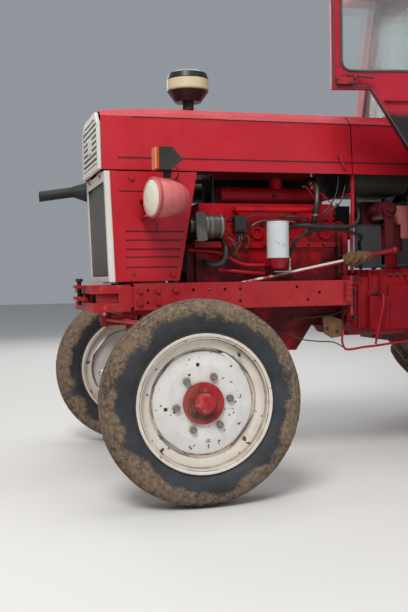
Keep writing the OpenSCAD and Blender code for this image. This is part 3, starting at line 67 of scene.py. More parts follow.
class Graph:
    """Short words for building a node material."""

    def __init__(self, name):
        self.mat = bpy.data.materials.new(name)
        self.mat.use_nodes = True
        self.tree = self.mat.node_tree
        self.bsdf = self.tree.nodes["Principled BSDF"]
        self.place = self.node("ShaderNodeTexCoord").outputs["Object"]

    def node(self, kind, sockets=(), **values):
        made = self.tree.nodes.new(kind)
        for key, value in values.items():
            setattr(made, key, value)
        self.feed(made, sockets)
        return made

    def feed(self, made, sockets):
        for key, value in dict(sockets).items():
            self.put(value, made.inputs[key])

    def put(self, value, socket):
        """A socket takes a number, a colour or another node's output."""
        if isinstance(value, bpy.types.NodeSocket):
            self.tree.links.new(value, socket)
        elif isinstance(value, (list, tuple)) and len(value) == 3 and socket.type == "RGBA":
            socket.default_value = (*value, 1)
        else:
            socket.default_value = value

    def noise(self, scale, detail=3.0, rough=0.55, stretch=None):
        place = self.place
        if stretch:
            place = self.node("ShaderNodeMapping", {"Vector": place, "Scale": stretch}).outputs["Vector"]
        sockets = {"Vector": place, "Scale": scale, "Detail": detail, "Roughness": rough}
        return self.node("ShaderNodeTexNoise", sockets).outputs["Fac"]

    def ramp(self, source, low, high, a=0.0, b=1.0):
        sockets = {"Value": source, "From Min": low, "From Max": high, "To Min": a, "To Max": b}
        return self.node("ShaderNodeMapRange", sockets).outputs["Result"]

    def patch(self, noise, *levels):
        """Noise with the given settings, spread over a ramp's levels."""
        return self.ramp(self.noise(*noise), *levels)

    def math(self, kind, a, b=0.0):
        return self.node("ShaderNodeMath", {0: a, 1: b}, operation=kind).outputs[0]

    def both(self, a, b):
        return self.math("MULTIPLY", a, b)

    def plus(self, a, b):
        return self.math("ADD", a, b)

    def less(self, a, b):
        return self.math("SUBTRACT", a, b)

    def most(self, a, b):
        return self.math("MAXIMUM", a, b)

    def mix(self, share, a, b):
        made = self.node("ShaderNodeMix", {0: share}, data_type="RGBA")
        color_a, color_b = [s for s in made.inputs if s.type == "RGBA"]
        self.put(a, color_a)
        self.put(b, color_b)
        return [s for s in made.outputs if s.type == "RGBA"][0]

    def tint(self, share, color, rgb):
        return self.mix(share, color, linear(rgb))

    def axis(self, index):
        return self.node("ShaderNodeSeparateXYZ", {0: self.place}).outputs[index]

    def spot(self, index):
        """The place along one axis in metres from the front axle line."""
        found = self.axis(index)
        return self.less(found, SHIFT) if index == 0 else found

    def far(self, index):
        return self.math("ABSOLUTE", self.spot(index))

    def above(self, source, at, soft=0.001):
        return self.ramp(source, at - soft, at + soft)

    def length(self, a, b):
        return self.math("SQRT", self.plus(self.both(a, a), self.both(b, b)))

    def radius(self, x, z):
        """Distance in a side view from the point x, z."""
        return self.length(self.less(self.spot(0), x), self.less(self.axis(2), z))

    def ring(self, r, at, half):
        return self.ramp(self.math("ABSOLUTE", self.less(r, at)), half, half * 0.4)

    def edges(self, radius):
        """1 along hard edges, 0 on flat faces; also gives the softened normal."""
        soft = self.node("ShaderNodeBevel", {"Radius": radius}, samples=3).outputs["Normal"]
        flat = self.node("ShaderNodeNewGeometry").outputs["True Normal"]
        dot = self.node("ShaderNodeVectorMath", {0: soft, 1: flat}, operation="DOT_PRODUCT")
        return self.ramp(dot.outputs["Value"], 0.99, 0.82), soft

    def hollow_shade(self, distance):
        made = self.node("ShaderNodeAmbientOcclusion", {"Distance": distance}, samples=3)
        return self.ramp(made.outputs["AO"], 0.75, 0.15)

    def bump(self, height, strength, distance, normal=None):
        sockets = {"Strength": strength, "Distance": distance, "Height": height}
        if normal is not None:
            sockets["Normal"] = normal
        return self.node("ShaderNodeBump", sockets).outputs["Normal"]


M = {}
RUST = linear((92, 48, 30))
# Dark grease colour, also used for the painted shade in crevices
GREASE_AND_SHADE = linear((30, 22, 20))
DUST = linear((150, 128, 104))


def paint(name, rgb, faded=None, rough=0.36, chips=0.4, dirt=0.5, fade=0.6, grime_and_shade=None, round_edge=0.003,
        dusty=0.0, coat=0.25, over=None, reach=0.05, gloss=0.3):
    """Worn paint, with painted shade in its crevices whose strength follows dirt; over(graph, colour) may put
    other colours on parts of the piece.
    """
    g = Graph(name)
    base = linear(rgb)
    faded = linear(faded) if faded else [min(1, c * 1.25 + 0.02) for c in base]
    cloud = g.patch((2.1, 4.0, 0.6), 0.38, 0.68, 0.0, fade)
    color = g.mix(cloud, base, faded)
    streak = g.patch((1.0, 5.0, 0.6, (26, 26, 1.6)), 0.52, 0.75, 0.0, 0.35 * dirt)
    color = g.mix(streak, color, [c * 0.45 for c in base])
    mottled = g.patch((38, 6.0, 0.7), 0.5, 0.8, 0.0, 0.3 * dirt)
    color = g.mix(mottled, color, [c * 0.55 for c in base])
    if over:
        color = over(g, color)
    edge, soft = g.edges(round_edge)
    wear = g.both(edge, g.patch((22, 6.0, 0.75), 0.60 - 0.16 * chips, 0.66 - 0.10 * chips))
    spots = g.patch((31, 8.0, 0.8), 0.715 - 0.07 * chips, 0.735 - 0.07 * chips)
    chipped = g.most(g.both(wear, min(1, chips * 1.6)), g.both(spots, min(1, chips * 1.4)))
    rust = g.tint(g.patch((70, 4.0), 0.35, 0.65), RUST, (52, 30, 24))
    color = g.mix(chipped, color, rust)
    # Painted shade: crevices found by ambient occlusion darken in patches towards a dark grease colour
    hollow_shade = g.both(g.hollow_shade(reach), g.patch((9, 5.0), 0.3, 0.62, 0.35, 1.0))
    color = g.mix(g.both(hollow_shade, min(1, dirt * 1.25)), color, linear(grime_and_shade) if grime_and_shade else GREASE_AND_SHADE)
    if dusty:
        low = g.ramp(g.axis(2), 1.0, 0.35, 0.0, 1.0)
        powder = g.both(low, g.patch((13, 6.0, 0.7), 0.42, 0.66, 0.0, dusty))
        color = g.mix(powder, color, DUST)
    shine = g.most(g.patch((14, 5.0), 0.3, 0.75, rough, rough + 0.22), g.both(chipped, 0.8))
    relief = g.bump(g.less(g.noise(3.4, 2.0), g.both(chipped, 0.12)), 0.35, 0.012, soft)
    g.feed(g.bsdf, {"Base Color": color, "Roughness": shine, "Normal": relief, "Specular IOR Level": gloss,
        "Coat Weight": coat, "Coat Roughness": 0.25})
    M[name] = g.mat


def plain(name, rgb, rough=0.6, metal=0.0, dirt=0.35, grime_and_shade=None, round_edge=0.0025, speck=0.25, dusty=0.3,
        over=None):
    g = Graph(name)
    base = linear(rgb)
    color = g.mix(g.patch((24, 6.0, 0.7), 0.42, 0.72, 0.0, speck), base, [c * 0.45 for c in base])
    if over:
        color = over(g, color)
    powder = g.patch((7, 5.0, 0.65), 0.48, 0.75, 0.0, dusty)
    color = g.mix(powder, color, DUST)
    # Painted shade: crevices found by ambient occlusion darken towards a dark grease colour
    color = g.mix(g.both(g.hollow_shade(0.03), dirt), color, linear(grime_and_shade) if grime_and_shade else GREASE_AND_SHADE)
    relief = g.bump(g.noise(60, 3.0), 0.15, 0.002, g.edges(round_edge)[1])
    shine = g.patch((17, 5.0), 0.3, 0.7, rough - 0.08, rough + 0.16)
    g.feed(g.bsdf, {"Base Color": color, "Roughness": shine, "Metallic": metal, "Normal": relief})
    M[name] = g.mat


def tyre_material(name, hub_x, hub_z, mud_r):
    """Worn rubber, with dry mud from mud_r out to the tread; lengths in metres."""
    g = Graph(name)
    r = g.radius(hub_x, hub_z)
    patchy = g.noise(5.0, 5.0, 0.65)
    fine = g.noise(64, 9.0, 0.8)
    edge = g.plus(r, g.ramp(patchy, 0.3, 0.7, -0.045, 0.045))
    zone = g.ramp(edge, mud_r - 0.006, mud_r + 0.014)
    broken = g.ramp(g.plus(fine, g.both(patchy, 0.45)), 0.58, 0.66)
    caked = g.both(g.both(zone, 0.93), broken)
    rubber = g.tint(g.patch((9, 6.0, 0.7), 0.35, 0.7), linear((26, 28, 33)), (52, 53, 58))
    clay = g.tint(g.patch((60, 6.0, 0.7), 0.3, 0.7), linear((72, 58, 46)), (158, 134, 110))
    color = g.mix(caked, rubber, clay)
    # Painted shade: the tyre's recesses darkened by ambient occlusion
    color = g.tint(g.both(g.hollow_shade(0.02), 0.55), color, (26, 23, 22))
    lumps = g.plus(g.both(caked, g.ramp(fine, 0.3, 0.7, 0.3, 1.0)), g.both(g.noise(90, 4.0), 0.25))
    g.feed(g.bsdf, {"Base Color": color, "Roughness": g.plus(g.both(caked, 0.25), 0.68),
        "Normal": g.bump(lumps, 0.9, 0.008)})
    M[name] = g.mat


def glass_material(name, rgb, clear):
    g = Graph(name)
    g.feed(g.bsdf, {"Base Color": linear(rgb), "Roughness": 0.03, "IOR": 1.1, "Transmission Weight": clear,
        "Alpha": 1 - 0.55 * clear})
    M[name] = g.mat


INK = linear((30, 29, 30))
CRIMSON = linear((150, 14, 30))
# Ends of the drag link's bar: x and z in metres from the front axle line
LINK_FRONT = (0.05, 0.794)
LINK_REAR = (-1.11, 1.02)


def wheel_colours(x, z, disc_r, lip_r):
    """White disc, creamier rim, and brown dirt along the disc's edge and the rim's steps."""
    def over(g, color):
        r = g.radius(x, z)
        rim = g.above(r, disc_r + 0.004, 0.004)
        stain = g.patch((5, 4.0, 0.6), 0.35, 0.7, 0.1, 0.6)
        color = g.tint(g.both(rim, stain), color, (206, 186, 148))
        lines = g.most(g.ring(r, disc_r, 0.0055), g.ring(r, lip_r - 0.0155, 0.003))
        lines = g.most(lines, g.both(g.ring(r, (disc_r + lip_r) / 2 + 0.012, 0.003), 0.7))
        broken = g.patch((12, 6.0, 0.7), 0.38, 0.6, 0.35, 1.0)
        color = g.tint(g.both(lines, broken), color, (112, 76, 48))
        blots = g.most(g.patch((17, 3.0, 0.6), 0.69, 0.705), g.patch((52, 2.0, 0.5), 0.70, 0.715))
        return g.tint(blots, color, (84, 50, 40))
    return over


def hub_colours(g, color):
    r = g.radius(0, FRONT_R / 1000)
    black = g.both(g.ring(r, 0.058, 0.016), g.patch((7, 4.0, 0.6), 0.44, 0.56))
    color = g.tint(g.both(black, 0.85), color, (34, 22, 20))
    worn = g.both(g.patch((26, 6.0, 0.75), 0.54, 0.62), g.ramp(g.far(1), 0.80, 0.82))
    color = g.tint(g.both(worn, 0.6), color, (178, 96, 92))
    heads = g.both(g.above(r, 0.0935), g.above(g.far(1), 0.7805))
    return g.mix(heads, color, g.tint(g.patch((60, 4.0), 0.4, 0.6), linear((140, 132, 112)), (92, 84, 70)))


def precleaner_colours(g, color):
    color = g.mix(g.above(g.axis(2), 1.848), color, INK)
    low = g.ramp(g.axis(2), 1.806, 1.792)
    return g.tint(low, color, (34, 30, 30))


def filter_colours(g, color):
    smudge = g.both(g.patch((30, 4.0), 0.56, 0.66), g.ring(g.axis(2), 1.075, 0.05))
    color = g.tint(g.both(smudge, 0.5), color, (120, 122, 122))
    return g.mix(g.above(g.axis(2), 0.9866), CRIMSON, color)


def generator_colours(g, color):
    """The starter, behind, is black."""
    case = g.above(g.spot(0), -0.3)
    color = g.mix(case, INK, color)
    streak = g.patch((1.0, 3.0, 0.5, (60, 6, 6)), 0.5, 0.62)
    front = g.both(case, g.above(g.spot(0), -0.24))
    return g.tint(g.both(g.both(streak, front), 0.4), color, (150, 146, 138))


def bracket_colours(g, color):
    """Darker above, paler towards its foot."""
    high = g.ramp(g.plus(g.axis(2), g.patch((20, 5.0), 0.3, 0.7, -0.03, 0.03)), 1.11, 1.15)
    return g.tint(g.both(high, 0.85), color, (52, 53, 54))


def lamp_colours(g, color):
    scuffed = g.patch((6, 6.0, 0.7), 0.42, 0.62)
    rear = g.ramp(g.spot(0), 0.09, -0.02)
    color = g.tint(g.most(g.both(scuffed, 0.75), g.both(rear, 0.65)), color, (168, 58, 62))
    stand = g.both(g.ramp(g.far(1), 0.3745, 0.3725), g.ramp(g.axis(2), 1.2515, 1.2505))
    color = g.mix(stand, color, CRIMSON)
    return g.mix(g.above(g.axis(2), 1.3305), color, INK)


def lens_colours(g, color):
    ribs = g.ramp(g.math("SINE", g.both(g.axis(1), 700)), -0.2, 0.9, 0.0, 0.5)
    color = g.tint(ribs, color, (176, 170, 150))
    orange = g.tint(g.above(g.spot(0), 0.099, 0.003), linear((190, 64, 26)), (208, 150, 104))
    return g.mix(g.above(g.axis(2), 1.35), color, orange)


def grille_colours(g, color):
    """Painted shade: the grille deep behind the lower grille's frame is dark."""
    face = g.plus(g.both(g.less(g.axis(2), 0.888), 15 / 489), 0.275)
    deep = g.less(face, g.spot(0))
    shaded_inside = g.both(g.above(deep, 0.0085), g.ramp(g.far(1), 0.2600, 0.2590))
    return g.tint(shaded_inside, color, (58, 56, 54))


def column_colours(g, color):
    shaft = g.both(g.above(g.axis(2), 1.275), g.ramp(g.far(1), 0.03, 0.029))
    return g.mix(shaft, color, INK)


def engine_colours(g, color):
    """Painted shade of the engine bay mixed with oily soot: dark patches, thickest low on the block and at
    its ends.
    """
    low = g.ramp(g.axis(2), 1.05, 0.96, 0.0, 0.22)
    ends = g.plus(g.ramp(g.spot(0), -0.22, -0.14, 0.0, 0.18), g.ramp(g.spot(0), -0.76, -0.86, 0.0, 0.18))
    oil_and_shade = g.plus(g.noise(7, 6.0, 0.7), g.plus(low, ends))
    return g.tint(g.ramp(oil_and_shade, 0.56, 0.74, 0.0, 0.8), color, (34, 10, 14))


def support_colours(g, color):
    """The tow pin is bare dark steel."""
    r = g.length(g.less(g.spot(0), 0.372), g.axis(1))
    clear = g.most(g.above(g.axis(2), 0.8765), g.ramp(g.axis(2), 0.8615, 0.8605))
    worn = g.both(g.patch((16, 7.0, 0.75), 0.56, 0.62), g.ramp(g.spot(0), 0.16, 0.26))
    color = g.tint(g.both(worn, 0.6), color, (176, 104, 88))
    return g.tint(g.both(g.ramp(r, 0.0176, 0.0172), clear), color, (40, 34, 32))


def link_colours(g, color):
    """Painted highlight and worn, scratched bare metal along the top of the bar, in front of the canvas boot;
    painted shade as darker red patches elsewhere.
    """
    line = g.ramp(g.spot(0), LINK_FRONT[0], LINK_REAR[0], LINK_FRONT[1], LINK_REAR[1])
    # Painted highlight: the bar above its axis line is made pale
    top = g.above(g.less(g.axis(2), line), 0.002, 0.002)
    patches = g.ramp(g.plus(g.noise(16, 6.0, 0.7), g.ramp(g.spot(0), -0.45, -0.75, 0.0, 0.14)), 0.46, 0.54)
    bare = g.both(g.both(top, patches), g.above(g.spot(0), -0.86, 0.01))
    # Painted shade: darker red in patches, left showing below the highlight
    patchy_shade_red = g.mix(g.patch((12, 5.0, 0.7), 0.4, 0.55), linear((92, 10, 20)), color)
    return g.tint(bare, patchy_shade_red, (196, 186, 180))


def cab_colours(g, color):
    """The wall in front of the pedals is black with undercoat."""
    front = g.both(g.above(g.spot(0), -1.362), g.ramp(g.axis(2), 1.63, 1.60))
    low = g.ramp(g.plus(g.noise(6, 5.0, 0.65), g.ramp(g.axis(2), 1.5, 1.0, 0.0, 0.12)), 0.56, 0.7, 0.0, 0.45)
    color = g.tint(low, color, (78, 14, 26))
    return g.tint(front, color, (30, 20, 22))


def transmission_colours(g, color):
    oily = g.both(g.patch((4, 5.0, 0.65), 0.42, 0.6), g.ramp(g.axis(2), 0.86, 0.62))
    return g.tint(g.both(oily, 0.75), color, (52, 14, 18))


paint("red_paint", (168, 8, 28), (190, 34, 50), rough=0.36, chips=0.25, dirt=0.55, fade=0.6, coat=0.22)
paint("engine_red", (166, 2, 20), (184, 8, 28), rough=0.34, chips=0.35, dirt=1.0, fade=0.5, coat=0.0,
    reach=0.09, over=engine_colours, gloss=0.2)
paint("pipe_red", (160, 8, 26), (176, 24, 38), rough=0.38, chips=0.4, dirt=0.8, coat=0.1)
paint("case_red", (140, 8, 24), (160, 24, 36), rough=0.46, chips=0.4, dirt=1.0, fade=0.5, coat=0.0,
    reach=0.09, over=transmission_colours, gloss=0.2)
paint("frame_red", (158, 14, 28), (176, 38, 44), rough=0.42, chips=0.5, dirt=0.9, fade=0.6, dusty=0.22,
    coat=0.12)
paint("column_red", (70, 14, 20), (112, 26, 34), rough=0.5, chips=0.6, dirt=1.0, fade=0.6,
    over=column_colours)
paint("cab_red", (160, 10, 36), (174, 32, 56), rough=0.38, chips=0.3, dirt=0.6, fade=0.55, over=cab_colours)
paint("support_red", (156, 12, 26), (174, 40, 44), rough=0.44, chips=0.6, dirt=0.9, fade=0.6, dusty=0.15,
    coat=0.1, over=support_colours)
paint("hub_red", (158, 8, 24), (176, 34, 42), rough=0.42, chips=0.55, dirt=0.95, dusty=0.25, over=hub_colours,
    reach=0.03)
paint("roof_red", (172, 30, 54), (188, 66, 84), rough=0.5, chips=0.3, dirt=0.4)
paint("wheel_white", (214, 212, 210), (196, 192, 184), rough=0.42, chips=0.55, dirt=0.6,
    grime_and_shade=(104, 74, 50), fade=0.7, dusty=0.15, coat=0.1, over=wheel_colours(0, FRONT_R / 1000, 0.206, 0.277),
    reach=0.03)
paint("rear_white", (208, 204, 198), (190, 184, 172), rough=0.45, chips=0.55, dirt=0.6,
    grime_and_shade=(104, 74, 50), fade=0.7, dusty=0.2, coat=0.1,
    over=wheel_colours(-WHEELBASE / 1000, REAR_R / 1000, 0.43, 0.505), reach=0.03)
paint("grille_white", (218, 216, 212), (200, 190, 170), rough=0.4, chips=0.4, dirt=0.8,
    grime_and_shade=(70, 60, 48), fade=0.5, coat=0.1, over=grille_colours, reach=0.025)
# Near-black for the sheets that give painted shade behind the grilles
paint("grille_shade_black", (24, 23, 22), (34, 32, 30), rough=0.6, chips=0.0, dirt=0.2, coat=0.0)
paint("cream", (206, 192, 158), (188, 176, 142), rough=0.3, chips=0.1, dirt=0.5, grime_and_shade=(60, 50, 40),
    over=precleaner_colours)
paint("lamp_pink", (204, 116, 116), (196, 92, 96), rough=0.42, chips=0.4, dirt=0.5, grime_and_shade=(80, 34, 34),
    over=lamp_colours)
plain("black", (22, 22, 23), 0.5, dusty=0.08)
paint("black_metal", (36, 36, 38), (54, 53, 54), rough=0.5, chips=0.3, dirt=0.3, dusty=0.15, coat=0.0)
plain("grease_black", (27, 25, 25), 0.5, dusty=0.2, dirt=0.6)
# Dark red-black for the painted shadow in the grooves
plain("groove_shade", (44, 10, 14), 0.6, dusty=0.1, dirt=0.2)
plain("steel", (138, 131, 118), 0.42, 0.75, dirt=0.6, speck=0.5, dusty=0.3)
plain("brass", (186, 178, 160), 0.35, 0.6, dirt=0.5, speck=0.4, dusty=0.2)
plain("dark_steel", (70, 64, 60), 0.45, 0.7, dirt=0.6, speck=0.5, dusty=0.2)
plain("alloy", (138, 134, 126), 0.45, 0.55, dirt=0.8, speck=0.5, dusty=0.2)
plain("bracket_casting", (96, 95, 90), 0.45, 0.3, dirt=0.9, speck=0.9, dusty=0.1, over=bracket_colours)
plain("generator", (74, 70, 66), 0.35, 0.5, dirt=0.9, speck=0.4, dusty=0.2, over=generator_colours)
plain("rust", (92, 52, 36), 0.85, 0.0, dirt=0.5, speck=0.7, dusty=0.3)
plain("oily_mud", (112, 78, 46), 0.85, 0.0, dirt=0.7, speck=0.8, dusty=0.4)
paint("link_paint", (132, 10, 24), (150, 40, 46), rough=0.42, chips=0.6, dirt=0.7, fade=0.7, coat=0.0,
    over=link_colours)
paint("filter_white", (202, 206, 208), (184, 190, 194), rough=0.34, chips=0.1, dirt=0.5, grime_and_shade=(70, 62, 58),
    over=filter_colours)
paint("olive", (46, 43, 34), (64, 58, 42), rough=0.5, chips=0.2, dirt=0.5, coat=0.0)
plain("hose_rubber", (20, 20, 21), 0.42, dusty=0.08)
plain("seal_rubber", (62, 62, 64), 0.6, dusty=0.3)
plain("vinyl", (40, 38, 38), 0.5, dusty=0.25, speck=0.35)
plain("lamp_rim", (166, 66, 56), 0.5, dirt=0.4, speck=0.5, dusty=0.3)
plain("mesh_wire", (150, 149, 146), 0.5, dirt=0.1, speck=0.3, dusty=0.1)
paint("canister", (188, 112, 108), (170, 84, 84), rough=0.5, chips=0.3, dirt=0.7, coat=0.0)
plain("canvas", (104, 76, 46), 0.9, dusty=0.1, speck=0.8)
glass_material("window_glass", (214, 226, 226), 0.85)
plain("lamp_lens", (226, 222, 204), 0.12, dirt=0.2, speck=0.1, dusty=0.1, over=lens_colours)
plain("reflector", (210, 208, 200), 0.2, 0.9, dusty=0.1)
tyre_material("front_tyre_rubber", 0, FRONT_R / 1000, 0.338)
tyre_material("rear_tyre_rubber", -WHEELBASE / 1000, REAR_R / 1000, 0.64)

LOOKS = {
    "red_paint": "hood cowl side_panels",
    "engine_red": "engine_block rocker_cover",
    "case_red": "transmission lift_arms drawbar",
    "support_red": "front_support",
    "frame_red": "frame_rails front_axle knuckle_left knuckle_right steering_lever tie_rods",
    "column_red": "drop_arm steering_column",
    "link_paint": "drag_link",
    "cab_red": "cab_frame door_left door_right rear_fenders",
    "roof_red": "cab_roof",
    "hub_red": "front_hub_left front_hub_right",
    "wheel_white": "front_rim_left front_rim_right",
    "rear_white": "rear_rim_left rear_rim_right",
    "grille_white": "upper_grille lower_grille",
    "cream": "precleaner",
    "lamp_pink": "headlights",
    "black": "battery steering_wheel indicators",
    "black_metal": "exhaust seat_frame platform controls",
    "grease_black": "radiator air_cleaner",
    "generator": "alternator_starter",
    "alloy": "cooling_fan",
    "dark_steel": "lift_rods lower_links top_link",
    "filter_white": "oil_filter",
    "olive": "fuel_tank",
    "hose_rubber": "engine_hoses",
    "vinyl": "seat_cushions",
    "window_glass": "cab_glass door_glass_left door_glass_right",
    "lamp_lens": "lamp_lenses",
    "front_tyre_rubber": "front_tyre_left front_tyre_right",
    "rear_tyre_rubber": "rear_tyre_left rear_tyre_right",
}
for look, names in LOOKS.items():
    for node_name in names.split():
        mesh = NODES[node_name].data
        mesh.materials.clear()
        mesh.materials.append(M[look])


# Stage, light and camera

def stage():
    bpy.ops.mesh.primitive_plane_add(size=60, location=(0, 0, 0))
    floor = bpy.context.object
    floor.name = "floor"
    g = Graph("floor")
    g.feed(g.bsdf, {"Base Color": (0.62, 0.61, 0.59), "Roughness": 0.85})
    floor.data.materials.append(g.mat)
    world = bpy.data.worlds.new("studio")
    bpy.context.scene.world = world
    world.use_nodes = True
    world.node_tree.nodes["Background"].inputs["Color"].default_value = (0.84, 0.9, 0.98, 1)
    world.node_tree.nodes["Background"].inputs["Strength"].default_value = 0.34
    for name, place, size, power, tint in (
            ("key", (4.2, 5.5, 7.0), 3.0, 640, (1.0, 0.98, 0.95)),
            ("fill", (-5.0, 6.5, 3.5), 6.0, 120, (0.92, 0.96, 1.0)),
            ("back", (1.0, -7.0, 5.5), 6.0, 240, (1.0, 0.98, 0.95)),
            ("top", (0.0, 0.0, 8.0), 6.0, 240, (1, 1, 1))):
        data = bpy.data.lights.new(name, "AREA")
        data.shape = "SQUARE"
        data.size = size
        data.energy = power
        data.color = tint
        lamp = bpy.data.objects.new(name, data)
        bpy.context.scene.collection.objects.link(lamp)
        lamp.location = place
        aim = Vector((0, 0, 1.0)) - Vector(place)
        lamp.rotation_mode = "QUATERNION"
        lamp.rotation_quaternion = aim.to_track_quat("-Z", "Y")


def camera():
    data = bpy.data.cameras.new("camera")
    data.sensor_width = 36
    data.lens = 50.2
    data.clip_start, data.clip_end = 0.05, 200
    data.dof.use_dof = False
    made = bpy.data.objects.new("camera", data)
    bpy.context.scene.collection.objects.link(made)
    forward = Vector((-0.2738, -0.9613, -0.0321)).normalized()
    up = Vector((-0.0241, -0.0265, 0.9994))
    right = forward.cross(up).normalized()
    up = right.cross(forward)
    turned = Matrix((right, up, -forward)).transposed()
    made.matrix_world = Matrix.Translation((0.905 + SHIFT, 3.992, 0.898)) @ turned.to_4x4()
    bpy.context.scene.camera = made


stage()
camera()
bpy.context.scene.view_settings.view_transform = "Standard"


# Shapes, all in millimetres from the front axle line

AHEAD, BACK, LEFT, UP = (1, 0, 0), (-1, 0, 0), (0, 1, 0), (0, 0, 1)


def spline(points, steps=5):
    """A smooth line through the points."""
    p = [Vector(q) for q in points]
    out = []
    for i in range(len(p) - 1):
        a, b, c, d = p[max(i - 1, 0)], p[i], p[i + 1], p[min(i + 2, len(p) - 1)]
        for k in range(steps):
            t = k / steps
            out.append((2 * b + (c - a) * t + (2 * a - 5 * b + 4 * c - d) * t * t
                + (3 * b - a - 3 * c + d) * t * t * t) / 2)
    out.append(p[-1])
    return out


def tube(points, radius, sides=10, closed=False):
    """(vertices, faces) of a round bar along the points."""
    p = [Vector(q) for q in points]
    n = len(p)
    verts, faces = [], []
    before = None
    for i in range(n):
        along = (p[(i + 1) % n] - p[i - 1]) if closed else (p[min(i + 1, n - 1)] - p[max(i - 1, 0)])
        along.normalize()
        if before is None:
            before = along.orthogonal().normalized()
        across = (before - along * before.dot(along)).normalized()
        before = across
        other = along.cross(across)
        size = radius[i] if isinstance(radius, (list, tuple)) else radius
        for k in range(sides):
            a = 2 * math.pi * k / sides
            verts.append(p[i] + (across * math.cos(a) + other * math.sin(a)) * size)
    for i in range(n if closed else n - 1):
        j = (i + 1) % n
        for k in range(sides):
            m = (k + 1) % sides
            faces.append((i * sides + k, i * sides + m, j * sides + m, j * sides + k))
    if not closed:
        faces.append(tuple(range(sides - 1, -1, -1)))
        faces.append(tuple((n - 1) * sides + k for k in range(sides)))
    return verts, faces


def hose(points, radius, steps=5):
    return tube(spline(points, steps), radius, 8)


def basis(axis):
    along = Vector(axis).normalized()
    across = along.orthogonal().normalized()
    return across, along.cross(across), along


def turned(profile, centre, axis, sides=48, start=0.0):
    """A turned piece: profile is (distance along the axis, radius) pairs."""
    across, other, along = basis(axis)
    centre = Vector(centre)
    verts, faces = [], []
    for k in range(sides):
        a = start + 2 * math.pi * k / sides
        ray = across * math.cos(a) + other * math.sin(a)
        verts += [centre + along * d + ray * r for d, r in profile]
    n = len(profile)
    for k in range(sides):
        m = (k + 1) % sides
        for i in range(n - 1):
            faces.append((k * n + i, m * n + i, m * n + i + 1, k * n + i + 1))
    for i, flip in ((0, True), (n - 1, False)):
        if profile[i][1] > 0.01:
            loop = [k * n + i for k in range(sides)]
            faces.append(tuple(reversed(loop)) if flip else tuple(loop))
    return verts, faces


def band(centre, axis, radius, low, high, sides=16):
    """A short round bar between two distances along its axis."""
    return turned([(low, radius), (high, radius)], centre, axis, sides)


def box(p, q):
    x0, y0, z0 = (min(a, b) for a, b in zip(p, q))
    x1, y1, z1 = (max(a, b) for a, b in zip(p, q))
    verts = [Vector(v) for v in ((x0, y0, z0), (x1, y0, z0), (x1, y1, z0), (x0, y1, z0),
        (x0, y0, z1), (x1, y0, z1), (x1, y1, z1), (x0, y1, z1))]
    return verts, [(3, 2, 1, 0), (4, 5, 6, 7), (0, 1, 5, 4), (1, 2, 6, 5), (2, 3, 7, 6), (3, 0, 4, 7)]


def prism(points, low, high, axis="y"):
    """A plate with the outline points, from low to high along an axis."""
    put = {"y": lambda a, b, c: Vector((a, c, b)), "x": lambda a, b, c: Vector((c, a, b)),
        "z": lambda a, b, c: Vector((a, b, c))}[axis]
    n = len(points)
    verts = [put(a, b, low) for a, b in points] + [put(a, b, high) for a, b in points]
    faces = [tuple(range(n)), tuple(range(2 * n - 1, n - 1, -1))]
    faces += [(k, k + n, (k + 1) % n + n, (k + 1) % n) for k in range(n)]
    return verts, faces


def bolt(place, axis, d, h=None, washer=True, turn=0.3):
    """A hexagon head with a chamfered top, on a washer."""
    h = h or d * 0.62
    t = d * 0.12 if washer else 0
    parts = [turned([(t, d / 2), (t + h * 0.85, d / 2), (t + h, d * 0.43)], place, axis, 6, turn)]
    if washer:
        parts.append(band(place, axis, d * 0.68, 0, t))
    return parts


class Pieces:
    """Gathers small shapes that share a body and a material into one piece."""

    def __init__(self):
        self.made = {}

    def add(self, name, body, look, shapes, slot=None, replaces=None):
        shapes = shapes if isinstance(shapes, list) else [shapes]
        entry = {"body": body, "look": look, "slot": slot, "replaces": replaces, "v": [], "f": []}
        entry = self.made.setdefault(name, entry)
        for verts, faces in shapes:
            start = len(entry["v"])
            entry["v"] += [row(v) for v in verts]
            entry["f"] += [tuple(start + i for i in face) for face in faces]

    def finish(self):
        for name, e in self.made.items():
            mesh = bpy.data.meshes.new(name)
            mesh.from_pydata([tuple(v) for v in e["v"]], [], e["f"])
            mesh.validate()
            obj = bpy.data.objects.new(name, mesh)
            bpy.context.scene.collection.objects.link(obj)
            recalculate(mesh)
            mesh.shade_smooth()
            mesh.set_sharp_from_angle(angle=math.radians(38))
            mesh.materials.append(M[e["look"]])
            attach(obj, e["body"])
            if e["replaces"]:
                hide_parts(e["replaces"])


def recalculate(mesh):
    bm = bmesh.new()
    bm.from_mesh(mesh)
    bmesh.ops.recalc_face_normals(bm, faces=bm.faces)
    bm.to_mesh(mesh)
    bm.free()


pieces = Pieces()


def fixed(name, look, shapes, slot=None):
    pieces.add(name, "chassis", look, shapes, slot)


SIDES = (("left", 1), ("right", -1))

# Tyres

def lathe_grid(rings, centre, sides):
    """Quads round a wheel: rings(k) gives the (y, r) pairs of column k."""
    verts, faces = [], []
    for k in range(sides):
        a = 2 * math.pi * k / sides
        ring = rings(k)
        count = len(ring)
        for y, r in ring:
            verts.append(Vector((centre[0] + r * math.cos(a), centre[1] + y, centre[2] + r * math.sin(a))))
    for k in range(sides):
        m = (k + 1) % sides
        for i in range(count):
            j = (i + 1) % count
            faces.append((k * count + i, m * count + i, m * count + j, k * count + j))
    return verts, faces


